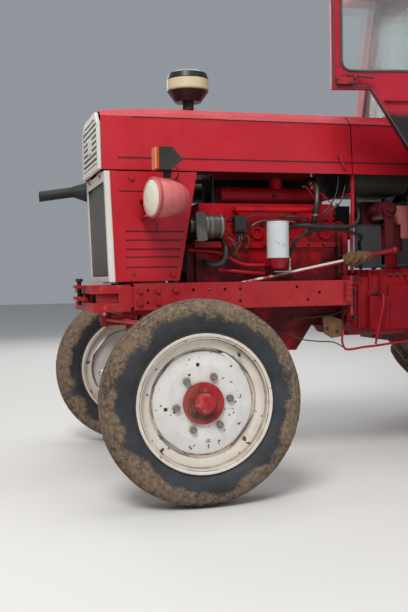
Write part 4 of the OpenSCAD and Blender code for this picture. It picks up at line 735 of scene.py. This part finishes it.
# (distance from the middle, radius), and 1 for a block that the tread's notches cut
FRONT_PROFILE = [(-60, 262), (-64, 268), (-66, 276), (-64, 284), (-70, 292), (-79, 312), (-85.5, 332),
    (-87.5, 350), (-86, 364), (-82, 376), (-77, 386)]
FRONT_TREAD = [(-72, 391, 1), (-62, 399, 1), (-52, 403, 1), (-46, 404.5, 0), (-44, 396, 0), (-34, 397, 0),
    (-32, 406.5, 0),
    (-10, 409.5, 0), (-8, 400, 0), (8, 400, 0), (10, 409.5, 0), (32, 406.5, 0), (34, 397, 0), (44, 396, 0),
    (46, 404.5, 0), (52, 403, 1), (62, 399, 1), (72, 391, 1)]


def front_tyre(side):
    sides = 264
    shoulder = [random.uniform(0, 1) for _ in range(sides)]

    def ring(k):
        notch = 1 if k % 6 in (0, 1) else 0
        wear = 2.2 * shoulder[k]
        out = [(y, r) for y, r in FRONT_PROFILE]
        for y, r, block in FRONT_TREAD:
            cut = 7.5 if block and notch else 0
            out.append((y, r - cut - (wear if block else wear * 0.4)))
        out += [(-y, r) for y, r in reversed(FRONT_PROFILE)]
        return out + [(40, 262), (0, 284), (-40, 262)]
    return lathe_grid(ring, (0, side * HALF_TRACK, FRONT_R), sides)


LUGS = 22
REAR_SECTION = [(-148, 496), (-154, 506), (-157, 520), (-166, 545), (-178, 590), (-184, 640), (-185, 672),
    (-181, 702), (-171, 726), (-150, 741), (-110, 748), (-60, 753), (0, 755)]


def rear_carcass(side):
    full = REAR_SECTION + [(-y, r) for y, r in reversed(REAR_SECTION[:-1])] + [(90, 496), (0, 545),
        (-90, 496)]
    return lathe_grid(lambda k: full, (-WHEELBASE, side * HALF_TRACK, REAR_R), 176)


def rear_lugs(side):
    """Curved lugs that run from the middle of the tread down over each shoulder."""
    parts = []
    tops = [(0.0, 789), (0.3, 787.5), (0.55, 784), (0.78, 778), (0.92, 769), (1.0, 752), (1.03, 728),
        (1.0, 700)]
    bases = [(0.0, 752), (0.3, 751), (0.55, 748), (0.78, 741), (0.92, 732), (1.0, 712), (1.0, 700),
        (0.985, 690)]
    for hand in (-1, 1):
        for k in range(LUGS):
            phase = 360 * (k + 0.15 + (0.5 if hand > 0 else 0)) / LUGS - 90
            verts, faces = [], []
            for i, ((share, top), (low_share, base)) in enumerate(zip(tops, bases)):
                reach = min(share, 1) if i < 6 else 1 + 0.06 * (i - 5)
                y = hand * (share * (REAR_H - 3) - (10 if i == 0 else 0))
                yb = hand * (low_share * (REAR_H - 3) - (10 if i == 0 else 0))
                middle = math.radians(phase + 17 * reach)
                half = (19 + 5 * share) / REAR_R
                foot = half * 1.5
                for angle, r, yy in ((middle - foot, base, yb), (middle - half, top, y),
                        (middle + half, top, y), (middle + foot, base, yb)):
                    verts.append(Vector((-WHEELBASE + r * math.cos(angle), side * (HALF_TRACK + yy),
                        REAR_R + r * math.sin(angle))))
            n = len(tops)
            for i in range(n - 1):
                for q in range(3):
                    faces.append((i * 4 + q, i * 4 + q + 1, (i + 1) * 4 + q + 1, (i + 1) * 4 + q))
            faces += [(0, 1, 2, 3), tuple((n - 1) * 4 + q for q in (3, 2, 1, 0))]
            parts.append((verts, faces))
    return parts


for name, side in SIDES:
    for end, shapes in (("front", front_tyre(side)), ("rear", [rear_carcass(side)] + rear_lugs(side))):
        pieces.add(f"{end}_tyre_rubber_{name}", f"{end}_wheel_{name}", f"{end}_tyre_rubber", shapes, "tyre",
            f"{end}_tyre_{name}")

# Wheel bolts and valves

def on_wheel(hub, angle, radius, y):
    a = math.radians(angle)
    return (hub[0] + radius * math.cos(a), y, hub[2] - radius * math.sin(a))


for name, side in SIDES:
    body = f"front_wheel_{name}"
    hub = (0, side * HALF_TRACK, FRONT_R)
    marks = []
    for k in range(6):
        place = on_wheel(hub, 60 * k + 7, 111, side * 794)
        marks.append(turned([(-0.6, 11.5), (0.5, 11), (0.6, 9), (0.2, 8)], place, (0, side, 0), 18))
    pieces.add(f"front_bolt_faces_{name}", body, "steel", marks)
    clock = -128 if side > 0 else -52
    stem = on_wheel(hub, clock, 236, side * 795)
    pieces.add(f"front_valve_{name}", body, "hose_rubber",
        [tube([on_wheel(hub, clock, 240, side * 775), stem], 4.2, 8),
            tube([stem, (stem[0] * 0.985, side * 812, FRONT_R + (stem[2] - FRONT_R) * 0.985)], 5.2, 8)])
    body = f"rear_wheel_{name}"
    nuts = []
    for k in range(8):
        nuts.append(turned([(26, 10), (34, 10), (36, 8.5)],
            on_wheel((-WHEELBASE, 0, REAR_R), 45 * k, 137.5, side * (HALF_TRACK - 31)),
            (0, side, 0), 12))
    pieces.add(f"rear_studs_{name}", body, "steel", nuts)

# Hood latches and the side panels' screws

for name, side in SIDES:
    loop = [(-838, side * 249, 1468), (-842, side * 262, 1462), (-848, side * 266, 1440),
        (-858, side * 266, 1420), (-866, side * 262, 1406), (-868, side * 251, 1400)]
    pieces.add(f"hood_latch_{name}", "hood", "red_paint", hose(loop, 4.6), "red_paint")
    pieces.add(f"hood_latch_plate_{name}", "hood", "rust",
        [band((-838, side * 250.5, 1468), (0, side, 0), 9, 0, 1.6),
            band((-868, side * 252.5, 1400), (0, side, 0), 9, 0, 1.6)])
    edge = side * 273.2
    heads = bolt((177, edge, 1347), (0, side, 0), 15, 7) + bolt((-10, edge, 921), (0, side, 0), 16, 8)
    heads += bolt((166, edge, 921), (0, side, 0), 13, 6) + bolt((-40, edge, 1347), (0, side, 0), 13, 6)
    fixed(f"panel_bolts_{name}", "rust", heads)

# Engine bay: each run of pipes or wires has a look, a radius and its routes

RUNS = {
    "engine_pipes": ("pipe_red", 8.5, [
        [(-103, 196, 1031), (-180, 200, 1027), (-255, 205, 1015), (-330, 208, 975), (-385, 210, 958),
            (-472, 212, 957)],
        [(-250, 196, 936), (-330, 205, 930), (-400, 208, 922), (-472, 205, 917)]]),
    "fuel_pipes": ("steel", 3.2, [
        [(-360, 176, 1150), (-362, 196, 1172), (-420, 204, 1192), (-520, 206, 1196), (-640, 200, 1190),
            (-700, 184, 1165)],
        [(-420, 172, 1126), (-424, 186, 1146), (-470, 190, 1166), (-560, 190, 1172), (-640, 184, 1160)]]),
    "wires_dark": ("hose_rubber", 3.4, [
        [(-340, 214, 1112), (-344, 226, 1080), (-330, 238, 1050), (-300, 230, 1020), (-290, 196, 1000)],
        [(-352, 214, 1112), (-360, 224, 1066), (-372, 214, 1030), (-400, 186, 1010)],
        [(-366, 214, 1112), (-370, 230, 1090), (-340, 244, 1066), (-310, 246, 1046), (-296, 220, 1016)],
        [(-262, 262, 1120), (-285, 258, 1100), (-318, 240, 1088), (-346, 222, 1110)],
        [(-262, 240, 1160), (-290, 236, 1176), (-320, 222, 1180), (-346, 205, 1175)],
        [(-660, 224, 1146), (-640, 236, 1170), (-610, 226, 1184), (-560, 196, 1180)],
        [(-760, 226, 1196), (-800, 236, 1240), (-830, 240, 1300), (-842, 236, 1376)],
        [(-770, 224, 1190), (-818, 246, 1226), (-850, 250, 1262), (-872, 246, 1330)],
        [(-870, 262, 880), (-858, 288, 850), (-846, 300, 805), (-862, 296, 760), (-850, 286, 735)],
        [(-846, 286, 735), (-838, 276, 700), (-848, 262, 668), (-870, 250, 640)]]),
    "breather_hose": ("hose_rubber", 8.5, [
        [(-584, 236, 1000), (-600, 250, 1036), (-620, 262, 1076), (-668, 268, 1108), (-745, 268, 1121),
            (-837, 266, 1118),
            (-925, 262, 1097), (-958, 236, 1087), (-972, 196, 1078), (-984, 162, 1064), (-1004, 130, 1016),
            (-1012, 120, 931)]]),
    "wires_red": ("pipe_red", 3.0, [
        [(-700, 196, 1350), (-735, 205, 1300), (-760, 214, 1250), (-775, 222, 1200)],
        [(-715, 192, 1340), (-770, 210, 1290), (-812, 226, 1240), (-828, 222, 1196)],
        [(-690, 200, 1330), (-720, 214, 1280), (-742, 220, 1240), (-748, 224, 1212)]]),
    "harness_tan": ("canvas", 2.6, [
        [(-280, 246, 1088), (-300, 262, 1066), (-322, 250, 1020), (-336, 226, 990)],
        [(-356, 210, 1106), (-352, 236, 1074), (-332, 240, 1036), (-318, 226, 1004)],
        [(-378, 206, 1108), (-392, 222, 1080), (-388, 214, 1046), (-366, 196, 1020)]]),
    "sump_lines": ("pipe_red", 5.6, [
        [(-860, 196, 690), (-858, 240, 640), (-845, 250, 596), (-861, 250, 552), (-905, 250, 549),
            (-960, 250, 556), (-1020, 250, 560), (-1100, 250, 568), (-1198, 250, 578), (-1290, 240, 588)],
        [(-1002, 300, 600), (-999, 296, 572)]]),
    "drain_pipe": ("case_red", 9.5, [
        [(-1049, 262, 812), (-1047, 288, 796), (-1036, 300, 740), (-1020, 300, 676), (-1002, 300, 596)]]),
    "sump_wires": ("dark_steel", 3.0, [
        [(-534, 140, 648), (-590, 200, 626), (-645, 245, 603), (-720, 250, 592), (-800, 250, 585),
            (-850, 250, 560)],
        [(-505, 140, 690), (-600, 190, 700), (-700, 230, 706), (-800, 246, 716), (-846, 262, 735)]]),
}
for run_name, (look, radius, routes) in RUNS.items():
    fixed(run_name, look, [hose(r, radius, 6) for r in routes])

engine = []
for x in range(-860, -170, 76):
    engine += bolt((x, 166.2, 1148), LEFT, 13, 7)
    engine += bolt((x, 182, 1053), LEFT, 11, 6)
for x in (-740, -640, -430, -330):
    engine += bolt((x, 136, 700), LEFT, 12, 6)
for z in (760, 840, 920, 1000, 1090):
    engine += bolt((-868, 185.2, z), LEFT, 15, 8)
engine.append(turned([(0, 9), (7, 9), (9, 6)], (-566, 95.2, 1290), LEFT, 16))
fixed("engine_bolts", "dark_steel", engine)
seats = [band((x, 165.1, 1172), LEFT, 12, 0, 2.2) for x in range(-830, -180, 108)]
fixed("engine_seats", "engine_red", seats + [
    box((-852, 165.1, 1176), (-176, 168.4, 1182)), box((-852, 165.1, 1020), (-176, 167.6, 1026)),
    box((-740, 135.1, 742), (-230, 138.0, 749))])
fixed("regulator_box", "black", [box((-378, 224, 1114), (-322, 233, 1184)),
    box((-368, 232, 1122), (-332, 238, 1140))])
clamps = [band(place, axis, r, -half, half, sides) for place, axis, r, half, sides in (
    ((-705, 176, 1112), LEFT, 14.6, 6, 20), ((-740, 50, 1344), UP, 14.6, 6, 20),
    ((-711, 256, 1190), (0.1, 0.1, 1), 14.6, 5, 20), ((-255, 176, 1088), LEFT, 14.6, 5, 20),
    ((-180, 176, 975), LEFT, 14.6, 5, 20), ((27, -100, 1345), AHEAD, 23.6, 6, 24),
    ((27, 110, 935), AHEAD, 23.6, 6, 24))]
fixed("hose_clamps", "steel", clamps)
vents = []
for k in range(14):
    a = 2 * math.pi * k / 14
    y, z = 253 + 41 * math.cos(a), 1135 + 41 * math.sin(a)
    vents.append(tube([(-250.6, y, z), (-252.4, y, z)], 5.5, 8))
vents += [turned([(0, 30), (4, 29), (4, 12), (10, 10)], (-250, 253, 1135), BACK, 28),
    band((-246, 253, 1135), AHEAD, 53.4, 0, 10, 48), band((-140, 253, 1135), AHEAD, 53.4, 0, 9, 48)]
fixed("alternator_ends", "steel", vents)
filter_trim = [band((-505, 300, 1148), UP, 51.6, 0, 5, 48),
    turned([(0, 52.2), (5, 51.8)], (-505, 300, 988), UP, 48)]
fixed("filter_rims", "filter_white", filter_trim, "filter_paint")
fixed("filter_valve", "brass",
    [turned([(0, 4), (8, 4), (9, 6), (18, 6), (19, 4.5), (52, 4.5), (53, 6.5), (60, 6.5)], (-562, 300, 923),
        UP, 16), tube([(-486, 300, 926), (-530, 303, 925), (-562, 301, 926)], 3.2, 8)])
bracket = [prism([(-112, 1188), (-122, 1197), (-150, 1196), (-157, 1186), (-160, 1110), (-168, 1076),
    (-162, 1068), (-118, 1066)],
    305.4, 311), box((-150, 240, 1188), (-118, 308, 1196)), box((-160, 232, 1067), (-122, 308, 1074))]
fixed("generator_bracket", "bracket_casting", bracket)
fixed("generator_foot", "engine_red",
    [box((-254, 166, 1067), (-128, 232, 1073)), box((-254, 226, 1040), (-128, 232, 1073))])
boot_path = spline([(-846, 270.0, 970), (-880, 273, 980), (-915, 275, 985), (-950, 277, 990),
    (-985, 279, 994)], 6)
boot_radius = [16 + 17 * math.sin(math.pi * min(1, i / (len(boot_path) - 1)) ** 0.8) + random.uniform(-4, 4)
    for i in range(len(boot_path))]

# Clutch housing: ears, studs and ribs, the rails' end plates and the bracket beside the sump

studs, ears = [], []
for x, z in ((-893, 655), (-1017, 811), (-1080, 690), (-1225, 880), (-1225, 700), (-930, 880)):
    ears.append(turned([(0, 26), (6, 25), (8, 22)], (x, 230.2, z), LEFT, 24))
    studs.append(turned([(8, 11), (11, 10.5)], (x, 230.2, z), LEFT, 16))
for z in (700, 760, 820, 880):
    studs += bolt((-918, 230.2, z), LEFT, 16, 9)
for x in (-1110, -1150, -1190, -1230):
    studs += bolt((x, 230.2, 905), LEFT, 13, 7)
fixed("housing_ears", "case_red", ears + [
    box((-1240, 230.1, 640), (-1100, 238, 850)), box((-946, 230.1, 640), (-938, 239, 926)),
    box((-1004, 230.1, 812), (-996, 239, 926)), box((-1062, 230.1, 812), (-1054, 239, 926))])
for _, side in SIDES:
    ears = [box((-867, side * 312.2, 774), (-839, side * 317, 874))]
    tips = []
    for x in (-860, -846):
        for z in (786, 812, 838, 862):
            tips += bolt((x, side * 317, z), (0, side, 0), 10, 5, False)
    fixed("rail_end_plates", "frame_red", ears + tips)
fixed("housing_studs", "grease_black", studs)
fixed("sump_bracket", "oily_mud",
    [prism([(-752, 706), (-778, 716), (-850, 690), (-868, 640), (-858, 612), (-800, 604), (-762, 626)], 228,
        238)])
fixed("sump_bracket_holes", "grease_black",
    [band((x, 237.6, z), LEFT, 10, 0, 1.2, 20) for x, z in ((-773, 650), (-826, 634))])
# A dark sheet on the far side, shaped as a manifold heat shield, that also gives painted shade in the gap
# between the hood and the rocker cover
shield = [prism([(-880, 1236), (-300, 1236), (-300, 1392), (-316, 1400), (-864, 1400), (-880, 1392)], -192,
    -190), box((-880, -192, 1224), (-300, -152, 1227))]
for x in (-820, -700, -590, -470, -360):
    shield.append(tube([(x, -193, 1240), (x, -193, 1392)], 4, 8))
fixed("manifold_shade_shield", "black_metal", shield)
fixed("reservoir", "canister",
    turned([(0, 30), (3, 46), (10, 50), (160, 50), (166, 47), (168, 30)], (-1228, 122, 1080), UP, 40))
fixed("reservoir_cap", "black", [turned([(0, 32), (12, 34), (16, 30)], (-1228, 122, 1246), UP, 24)])

# Painted shadow in the pressed grooves, and dark sheets for the painted shade behind the grilles

grooves = []
for side in (1, -1):
    for z in (1109, 1070, 1030, 995, 950):
        grooves.append(box((-20 - (z - 890) * 0.2, side * 273.35, z), (200, side * 273.9, z + 4.6)))
    grooves.append(box((62, side * 273.35, 1285.4), (224, side * 273.9, 1289.8)))
fixed("panel_groove_shade", "groove_shade", grooves)
# Painted shadow in the hood's and cowl's grooves
for part, ends in (("hood", (-904.5, 154)), ("chassis", (-1318, -911))):
    lines = []
    for side in (1, -1):
        for z, far in ((1435, ends[1] if part == "chassis" else 222), (1619, ends[1])):
            floor = 255 - 18 * (z - 1385) / 240 - 2
            lines.append(box((ends[0], side * (floor + 0.1), z + 1.5), (far, side * (floor + 0.7), z + 6.6)))
    pieces.add(f"{part}_groove_shade", part, "groove_shade", lines)
# Dark sheet behind the upper grille: painted shade in the space behind it
pieces.add("grille_shade_sheet", "hood", "grille_shade_black",
    [prism([(-205, 1412), (205, 1412), (196, 1560), (188, 1600), (150, 1622), (-150, 1622), (-188, 1600),
        (-196, 1560)],
        291, 293, "x")])


def face(z):
    return 275 + 15 * (z - 888) / 489


# Dark sheet behind the lower grille's wires: painted shade in the space behind it
fixed("lower_grille_shade_sheet", "grille_shade_black",
    [prism([(face(908) - 23, 908), (face(908) - 21, 908), (face(1340) - 21, 1340), (face(1340) - 23, 1340)],
        -256, 256)])
wires = []
rise, slope, reach = 1332 - 918, 2.2, 242
for hand in (1, -1):
    for k in range(-40, 60):
        y0 = k * 26
        run = hand * rise * slope
        ends = sorted(((-reach - y0) / run, (reach - y0) / run))
        low, high = max(0, ends[0]), min(1, ends[1])
        if high - low > 0.01:
            spots = [(y0 + run * t, 918 + rise * t) for t in (low, high)]
            wires.append(tube([(face(z) - 11.4 + hand * 0.5, y, z) for y, z in spots], 1.2, 5))
fixed("lower_grille_wires", "mesh_wire", wires)

# Canvas boot on the drag link

verts, faces = tube(boot_path, boot_radius, 18)
for i in range(len(boot_path)):
    for k in range(18):
        pull = 1 + 0.16 * math.sin(k * 1.9 + i * 0.9) + random.uniform(-0.05, 0.05)
        verts[i * 18 + k] = boot_path[i] + (verts[i * 18 + k] - boot_path[i]) * pull
pieces.add("drag_link_boot", "drag_link", "canvas", (verts, faces))

# Headlight trim and leads

for name, side in SIDES:
    axis = (math.cos(math.radians(12)), side * math.sin(math.radians(12)), 0)
    centre = Vector((118, side * 460, 1243))
    fixed(f"lamp_rim_{name}", "lamp_rim",
        [turned([(-12, 86.4), (-9, 88.5), (-3, 88.5), (0, 86.4)], centre, axis, 64)], "lamp_paint")
    fixed(f"lamp_reflector_{name}", "reflector",
        [turned([(-1.5, 74), (-1.9, 30), (-1.9, 0.1)], centre, axis, 48)])
    fixed(f"lamp_leads_{name}", "hose_rubber",
        [hose([(112, side * 395, 1205), (110, side * 400, 1176), (104, side * 404, 1158),
            (92, side * 408, 1140), (88, side * 405, 1108), (86, side * 404, 1090)], 3.0),
            hose([(112, side * 380, 1185), (98, side * 372, 1168), (80, side * 340, 1172),
                (64, side * 300, 1190), (60, side * 276, 1200)], 3.6)])
    fixed(f"indicator_lead_{name}", "canvas",
        [hose([(30, side * 440, 1395), (4, side * 436, 1372), (-8, side * 420, 1350), (-4, side * 380, 1330),
            (0, side * 300, 1332), (6, side * 276, 1334)], 2.6)])

# Cab: rubber round the windows, hinges, latch and wiper

def seal(corners, reach, steps, radius):
    """A closed rubber bar with its corners rounded over a reach."""
    line = []
    for i, corner in enumerate(corners):
        b = Vector(corner)
        u = (Vector(corners[i - 1]) - b).normalized()
        v = (Vector(corners[(i + 1) % len(corners)]) - b).normalized()
        p, q = b + u * reach, b + v * reach
        for k in range(steps + 1):
            t = k / steps
            line.append(p * (1 - t) ** 2 + b * 2 * t * (1 - t) + q * t * t)
    return tube(line, radius, 6, closed=True)


# Doors: u runs from the hinge to the free edge, v from the outer face into the cab
DOOR_OPEN = {"left": 190, "right": 0}
LEAN_U = (2448 - SILL_Z) * math.tan(LEAN)
WINDOW = [(62, 1800), (675, 1800), (675, 2393), (52 + LEAN_U, 2393)]
EDGE = [(24, 1002), (70, 1002), (548, 1732), (708, 1732), (708, 2436), (24 + LEAN_U, 2436), (24, SILL_Z)]


def door_trim(name, side):
    turn = math.radians(180 - DOOR_OPEN[name])

    def at(u, v, z):
        x = u * math.cos(turn) - v * math.sin(turn)
        y = u * math.sin(turn) + v * math.cos(turn)
        return Vector((HINGE_X + x, side * (HINGE_Y + y), z))

    inward, outward = at(0, 1, 0) - at(0, 0, 0), at(0, -1, 0) - at(0, 0, 0)
    windows = [seal([at(u, v, z) for u, z in WINDOW], 50, 6, 5.5) for v in (4.2, 30.8)]
    edge = seal([at(u, 30.8, z) for u, z in EDGE], 14, 3, 3.8)
    latch = [tube([at(u - run, v, z), at(u, v, z)], r, 8) for u, v, z, run, r in (
        (690, 44, 1762, 40, 7), (640, 44, 1748, 26, 6), (655, 46, 1778, 30, 5))]
    latch.append(tube([at(604, 48, 1770), at(604, 60, 1770), at(585, 64, 1768), at(540, 64, 1762)], 6, 8))
    for u, z in ((640, 1745), (694, 1745), (694, 1760), (616, 1762)):
        latch.append(turned([(0, 8), (4, 7), (5, 4)], at(u, 52, z), inward, 10))
    grip = tube(spline([at(640, 4.5, 1762), at(640, -26, 1762), at(610, -30, 1764), at(540, -30, 1768)], 4),
        8, 10)
    pins = []
    for z in (1080, 1600):
        pins.append(turned([(0, 6), (66, 6), (70, 4)], (HINGE_X, side * HINGE_Y, z - 8), UP, 12))
        for u in (30, 56):
            for dz in (20, 40):
                pins += bolt(at(u, 1, z + dz), outward, 9, 4, False)
    for part, look, shapes in (("window_seal", "seal_rubber", windows), ("edge_seal", "seal_rubber", edge),
            ("latch", "rust", latch), ("handle", "dark_steel", grip), ("hinge_pins", "rust", pins)):
        pieces.add(f"door_{part}_{name}", f"door_{name}", look, shapes)


for name, side in SIDES:
    door_trim(name, side)
    corners = ((-2355, 1760), (-2155, 1760), (-2155, 2390), (-2355, 2390))
    fixed(f"side_window_seal_{name}", "seal_rubber",
        [seal([(x, side * y, z) for x, z in corners], 40, 5, 5.5) for y in (552, 586)])


def leaning(x, y, z):
    """A point at the front screen: x out of its plane, z up along it from the sill."""
    return Vector((-1352 + x * math.cos(LEAN) - z * math.sin(LEAN), y,
        SILL_Z + x * math.sin(LEAN) + z * math.cos(LEAN)))


SCREEN_H = (ROOF_Z - SILL_Z) / math.cos(LEAN)
front = ((-493, 60), (493, 60), (493, SCREEN_H - 40), (-493, SCREEN_H - 40))
rear = ((-473, 1500), (473, 1500), (473, 2380), (-473, 2380))
fixed("screen_seals", "seal_rubber",
    [seal([leaning(x, y, z) for y, z in front], 40, 5, 6) for x in (-1, 33)]
    + [seal([(x, y, z) for y, z in rear], 50, 5, 6) for x in (-2401, -2367)])
wiper = [tube([leaning(34, 250, SCREEN_H - 22), leaning(52, 250, SCREEN_H - 22),
    leaning(54, 214, SCREEN_H - 180), leaning(44, 170, SCREEN_H - 360)], 4.5, 8),
    tube([leaning(32, 205, SCREEN_H - 190), leaning(32, 135, SCREEN_H - 520)], 5.5, 6),
    turned([(0, 16), (14, 14), (18, 9)], leaning(33, 250, SCREEN_H - 22), (1, 0, 0.14), 20)]
fixed("wiper", "black", wiper)

# Dashboard and steering wheel cap

rims, faces = [], []
for y, d in ((-110, 62), (0, 84), (110, 62)):
    place = (-1410, y, 1535)
    rims.append(turned([(0, d / 2 + 4), (6, d / 2 + 4), (6, d / 2), (2, d / 2 - 2)], place, BACK, 36))
    faces.append(turned([(1, d / 2 - 1), (1.6, 0.1)], place, BACK, 36))
    faces.append(box((-1412.6, y - 1, 1530), (-1412, y + 1, 1535 + d * 0.36)))
fixed("gauge_rims", "reflector", rims)
fixed("gauge_faces", "black", faces)
fixed("dash_switches", "hose_rubber", [turned([(0, 9), (12, 8), (16, 5)], (-1410, y, 1466), BACK, 14)
    for y in (-140, -100, -60, 60, 100, 140)])
pieces.add("steering_wheel_cap", "steering_wheel", "black",
    turned([(-16.2, 44), (-10, 43), (-4, 34), (-1, 20), (0, 0.1)], (-1600, 0, 1600), (-1, 0, 1), 32))

# Seat cushions

def cushion(name, centre, size, turn, bulge, folds):
    """A stuffed block: a rounded box that swells in the middle of its large faces."""
    bm = bmesh.new()
    bmesh.ops.create_cube(bm, size=2)
    bmesh.ops.subdivide_edges(bm, edges=bm.edges[:], cuts=19, use_grid_fill=True)
    half = Vector(size) / 2
    corner = min(half) * 0.55
    inner = half - Vector((corner, corner, corner))
    spin = Matrix.Rotation(math.radians(turn), 3, "Y")
    for v in bm.verts:
        p = v.co.copy()
        q = Vector((p.x * half.x, p.y * half.y, p.z * half.z))
        core = Vector([max(-inner[i], min(inner[i], q[i])) for i in range(3)])
        away = q - core
        out = core + (away.normalized() * corner if away.length > 1e-6 else away)
        if abs(p.z) > 0.5:
            swell = max(0, 1 - p.x ** 4) * max(0, 1 - p.y ** 4)
            out.z += bulge * swell * (1 if p.z > 0 else -0.2)
        if p.z > 0.5:
            out.z -= sum(depth * math.exp(-((p.y - at) / 0.05) ** 2) for at, depth in folds)
        v.co = row(Vector(centre) + spin @ out)
    mesh = bpy.data.meshes.new(name)
    bm.to_mesh(mesh)
    bm.free()
    obj = bpy.data.objects.new(name, mesh)
    bpy.context.scene.collection.objects.link(obj)
    mesh.shade_smooth()
    mesh.materials.append(M["vinyl"])
    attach(obj, "chassis")
    return obj


FOLDS = ((-0.45, 5), (0.45, 5))
seat = cushion("seat_base", (-2036, 0, 1396), (386, 424, 90), 2, 10, FOLDS)
cushion("seat_back", (-2214, 0, 1640), (400, 404, 74), -83.8, 9, FOLDS)
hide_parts("seat_cushions")

pieces.finish()
